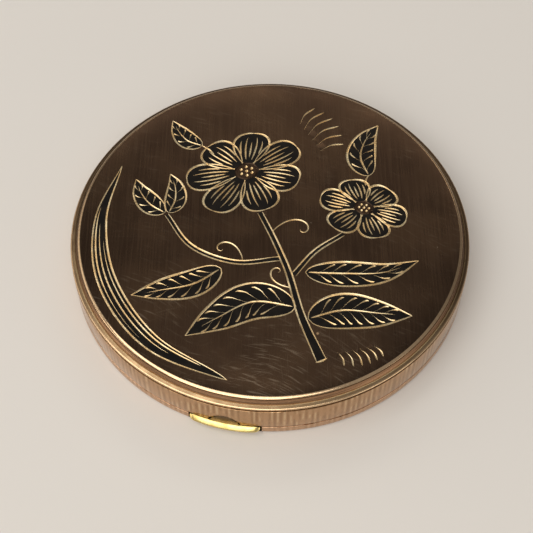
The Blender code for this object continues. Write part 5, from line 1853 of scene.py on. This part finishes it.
make_inner_bracket()
make_inner_rod()
print(f"little hinge {2 * INNER_HINGE_END / MM:.1f} mm wide")

# %% [markdown]
# The inner lid is lifted by a tab at its front. It is pressed from thin brass: square where it joins
# the disc, and rounded where the finger goes, so its outline is half a box and half a bow.

# %% The finger tab
TAB_POINTS = 17


def make_finger_tab():
    low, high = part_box("inner_lid_tab")
    half, depth = (high.x - low.x) / 2, high.y - low.y
    outline = [(-half, high.y), (half, high.y)]
    for i in range(TAB_POINTS):
        t = math.pi * i / (TAB_POINTS - 1)
        outline.append((half * math.cos(t), low.y + depth * 0.55 * (1 - math.sin(t) ** 0.8)))
    form = flat_form(outline, high.z - low.z)
    bmesh.ops.translate(form, vec=(0, 0, (high.z + low.z) / 2), verts=form.verts)
    tab = as_piece("finger_tab", mesh_of("finger_tab", form), "inner_lid", [THUMB_BRASS], 30)
    soften(tab, 0.07 * MM, 3, 40)
    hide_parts("inner_lid_tab")
    print(f"finger tab {2 * half / MM:.1f} mm wide")


make_finger_tab()

# %% [markdown]
# The two coil springs are wires wound in a helix. The inner one sits round its pin between the
# knuckles, and the catch's spring pushes the slide outward and shortens when the thumb bar goes in.
# A screw modifier could wind them, but a curve with a round bevel keeps the wire's thickness by
# itself. It is then made into a mesh, inside its CAD box.

# %% Springs
COIL_END_GAP = 0.02 * MM
POINTS_PER_TURN = 32
# Each coil: its radius, half its wire's thickness and its number of turns
INNER_COIL = (0.46 * MM, 0.09 * MM, 5)
CATCH_COIL = (0.9 * MM, 0.15 * MM, 4)


def make_spring(name, node, start, end, radius, wire, turns):
    """A coil of round wire between two points, with a straight lead at each end."""
    start, end = Vector(start), Vector(end)
    along = (end - start).normalized()
    across = along.orthogonal().normalized()
    other = along.cross(across)
    lead = 2 * wire
    length = (end - start).length - 2 * lead
    curve = bpy.data.curves.new(name, "CURVE")
    curve.dimensions = "3D"
    curve.bevel_depth = wire
    curve.bevel_resolution = 3
    curve.use_fill_caps = True
    points = [start + across * radius]
    for i in range(turns * POINTS_PER_TURN + 1):
        a = 2 * math.pi * i / POINTS_PER_TURN
        step = along * (lead + length * i / (turns * POINTS_PER_TURN))
        points.append(start + step + (across * math.cos(a) + other * math.sin(a)) * radius)
    points.append(end + across * radius)
    line = curve.splines.new("POLY")
    line.points.add(len(points) - 1)
    for place, point in zip(line.points, points):
        place.co = (*point, 1)
    shape = bpy.data.objects.new(name, curve)
    bpy.context.scene.collection.objects.link(shape)
    bpy.context.view_layer.update()
    mesh = bpy.data.meshes.new_from_object(shape.evaluated_get(bpy.context.evaluated_depsgraph_get()))
    bpy.data.objects.remove(shape, do_unlink=True)
    spring = as_piece(name, mesh, "case", [SPRING_STEEL], 50)
    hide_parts(node)
    return spring


half_room = INNER_SPRING_ROOM / 2 - SEAT_GAP
ends = ((-half_room, INNER_Y, INNER_Z), (half_room, INNER_Y, INNER_Z))
make_spring("inner_coil", "inner_lid_spring", *ends, *INNER_COIL)
CATCH_LOW, CATCH_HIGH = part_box("latch_spring")
catch_z = (CATCH_LOW.z + CATCH_HIGH.z) / 2
ends = ((0, CATCH_LOW.y + COIL_END_GAP, catch_z), (0, CATCH_HIGH.y - COIL_END_GAP, catch_z))
catch_coil = make_spring("catch_coil", "latch_spring", *ends, *CATCH_COIL)
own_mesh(catch_coil)

# %% [markdown]
# ## The mirror
#
# The glass has a narrow ground bevel round its face, which throws a bright ring when the lid is open.
# A rolled bezel holds it in the lid. Both are turned. The glass is shaded sharp, so that the bevel
# mirrors the room at its own angle.

# %% Mirror and bezel
BEVEL_WIDTH = 2.6 * MM
BEVEL_DEPTH = 0.28 * MM
GLASS_EDGE = 0.1 * MM
BEZEL_LIP = 1.5 * MM
BEZEL_SHEET = 0.3 * MM


def make_mirror():
    radius, bottom, top = span("mirror_glass")
    profile = [(0, bottom), (radius - BEVEL_WIDTH - BEVEL_DEPTH, bottom)]
    profile += [(radius - GLASS_EDGE, bottom + BEVEL_DEPTH)]
    profile += [(radius, bottom + BEVEL_DEPTH + GLASS_EDGE), (radius, top), (0, top)]
    glass = turned("mirror_plate", profile, "lid", [SILVERED_GLASS, GROUND_EDGE], 200, [0, 0, 1, 1, 1, 1], 2)
    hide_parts("mirror_glass")
    outer, low, high = span("mirror_bezel")
    inner, half = radius - BEZEL_LIP, BEZEL_SHEET / 2
    profile = [(outer, high), (outer, low + half)]
    profile += corner(outer - half, low + half, half, -20, -90, 4)
    profile += corner(inner + half, low + half, half, -90, -270, 11)
    profile += [(outer - BEZEL_SHEET, low + BEZEL_SHEET), (outer - BEZEL_SHEET, high)]
    bezel = turned("mirror_ring", profile, "lid", [ROSE_GOLD_RIM], 200)
    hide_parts("mirror_bezel")
    print(f"mirror {2 * radius / MM:.1f} mm across, {2 * inner / MM:.1f} mm of it free")


make_mirror()

# %% [markdown]
# The pieces whose CAD form is already right keep it, and only get their finish and softened edges:
# the card behind the mirror, the catch's slide, its guide and rivets, and the keeper in the lid.

# %% Finish the kept nodes
KEPT = {
    "mirror_backing_card": (GREY_CARD, 0.0),
    "latch_slide": (GILT_BRASS, 0.06 * MM),
    "latch_guide": (GILT_BRASS, 0.06 * MM),
    "latch_guide_rivet_left": (THUMB_BRASS, 0.0),
    "latch_guide_rivet_right": (THUMB_BRASS, 0.0),
    "lid_keeper": (GILT_BRASS, 0.05 * MM),
}
for node, (material, rounding) in KEPT.items():
    kept = frame["nodes"][node]
    kept.data.materials.clear()
    kept.data.materials.append(material)
    if rounding:
        soften(kept, rounding, 2, 40)
print(len(KEPT), "CAD nodes kept with new finishes")

# %% [markdown]
# ## The studio
#
# A plain pale floor and soft light. Polished metal looks like what it mirrors, so the lamps are large
# and the room behind them is a calm grey: the gold then shows broad highlights with darker bands
# between, as it does on a table by a window. The camera itself sees a paler room past the floor's edge.

# %% Floor
FLOOR_HALF = 0.8


def make_floor():
    half = FLOOR_HALF
    mesh = bpy.data.meshes.new("floor")
    corners = [(-half, -half, 0), (half, -half, 0), (half, half, 0), (-half, half, 0)]
    mesh.from_pydata(corners, [], [(0, 1, 2, 3)])
    floor = bpy.data.objects.new("floor", mesh)
    bpy.context.scene.collection.objects.link(floor)
    mesh.materials.append(start_material("pale_floor", "DEDAD5", 0.85, 0.0)[0])
    print(f"floor {2 * half:.1f} m across")


make_floor()

# %% [markdown]
# Each lamp is a soft panel that faces the compact. A large one overhead lights the whole, two low ones
# brighten the side band from left and right, and the weak ones put the glints on the rim and the bar.
# The world gives the grey that fills the reflections between them.

# %% Lamps and world
ROOM_LIGHT = 0.35
BACKDROP_LIGHT = 0.82
# Each lamp: its place and its size in metres, its power in watts and its tint
LAMPS = (
    ("overhead", (-0.25, -0.55, 1.05), (1.70, 1.00), 10.5, "FFFBF5"),
    ("left_window", (-0.95, 0.25, 0.50), (0.80, 0.60), 1.3, "FFF8EE"),
    ("back_glow", (-0.10, 0.88, 0.76), (0.90, 0.25), 1.2, "FFF1E0"),
    ("plate_glow", (-0.12, 0.42, 1.00), (0.30, 0.24), 0.22, "FFF6EA"),
    ("front_low", (-0.12, -0.75, 0.46), (0.80, 0.34), 1.4, "FFF8EE"),
    ("low_left", (-0.90, -0.46, 0.14), (0.50, 0.26), 0.9, "FFF6EA"),
    ("low_right", (0.90, -0.44, 0.14), (0.50, 0.26), 0.7, "FFF6EA"),
)


def area_lamp(name, place, size, power, tint):
    """A rectangular lamp that faces the origin."""
    data = bpy.data.lights.new(name, "AREA")
    data.shape = "RECTANGLE"
    data.size, data.size_y = size
    data.energy = power
    data.color = linear(tint)[:3]
    lamp = bpy.data.objects.new(name, data)
    lamp.location = place
    lamp.rotation_euler = (-Vector(place)).to_track_quat("-Z", "Y").to_euler()
    bpy.context.scene.collection.objects.link(lamp)


for lamp_row in LAMPS:
    area_lamp(*lamp_row)
world = bpy.data.worlds.new("studio")
bpy.context.scene.world = world
world.use_nodes = True
sky = world.node_tree.nodes["Background"]
sky.inputs["Color"].default_value = linear("E9E7E4")
seen = add(world.node_tree, "LightPath", output="Is Camera Ray")
glow = add(world.node_tree, "MapRange", {"Value": seen, 3: ROOM_LIGHT, 4: BACKDROP_LIGHT})
world.node_tree.links.new(glow, sky.inputs["Strength"])
print(len(LAMPS), "lamps,", round(sum(row[3] for row in LAMPS), 2), "W in all")

# %% [markdown]
# The camera looks down at 56 degrees, from a little to the right of the thumb bar and a quarter of a
# metre away, and it faces the plate's drawing squarely. Its height and distance came from fitting the
# lid's rim to an ellipse.

# %% Camera
ELEVATION = math.radians(56.2)
DISTANCE = 0.2494
AIM = Vector((-0.0002, -0.0023, 0.0))
LENS = 81.6


def make_camera():
    data = bpy.data.cameras.new("camera")
    data.lens, data.sensor_width = LENS, 36
    data.clip_start, data.clip_end = 0.01, 10
    camera = bpy.data.objects.new("camera", data)
    level = math.cos(ELEVATION)
    back = Vector((math.sin(PLATE_TURN) * level, -math.cos(PLATE_TURN) * level, math.sin(ELEVATION)))
    camera.location = AIM + back * DISTANCE
    camera.rotation_euler = (-back).to_track_quat("-Z", "Y").to_euler()
    bpy.context.scene.collection.objects.link(camera)
    bpy.context.scene.camera = camera


make_camera()
bpy.context.scene.view_settings.view_transform = "Standard"
print(f"camera {DISTANCE:.3f} m away, {math.degrees(ELEVATION):.1f} degrees up")
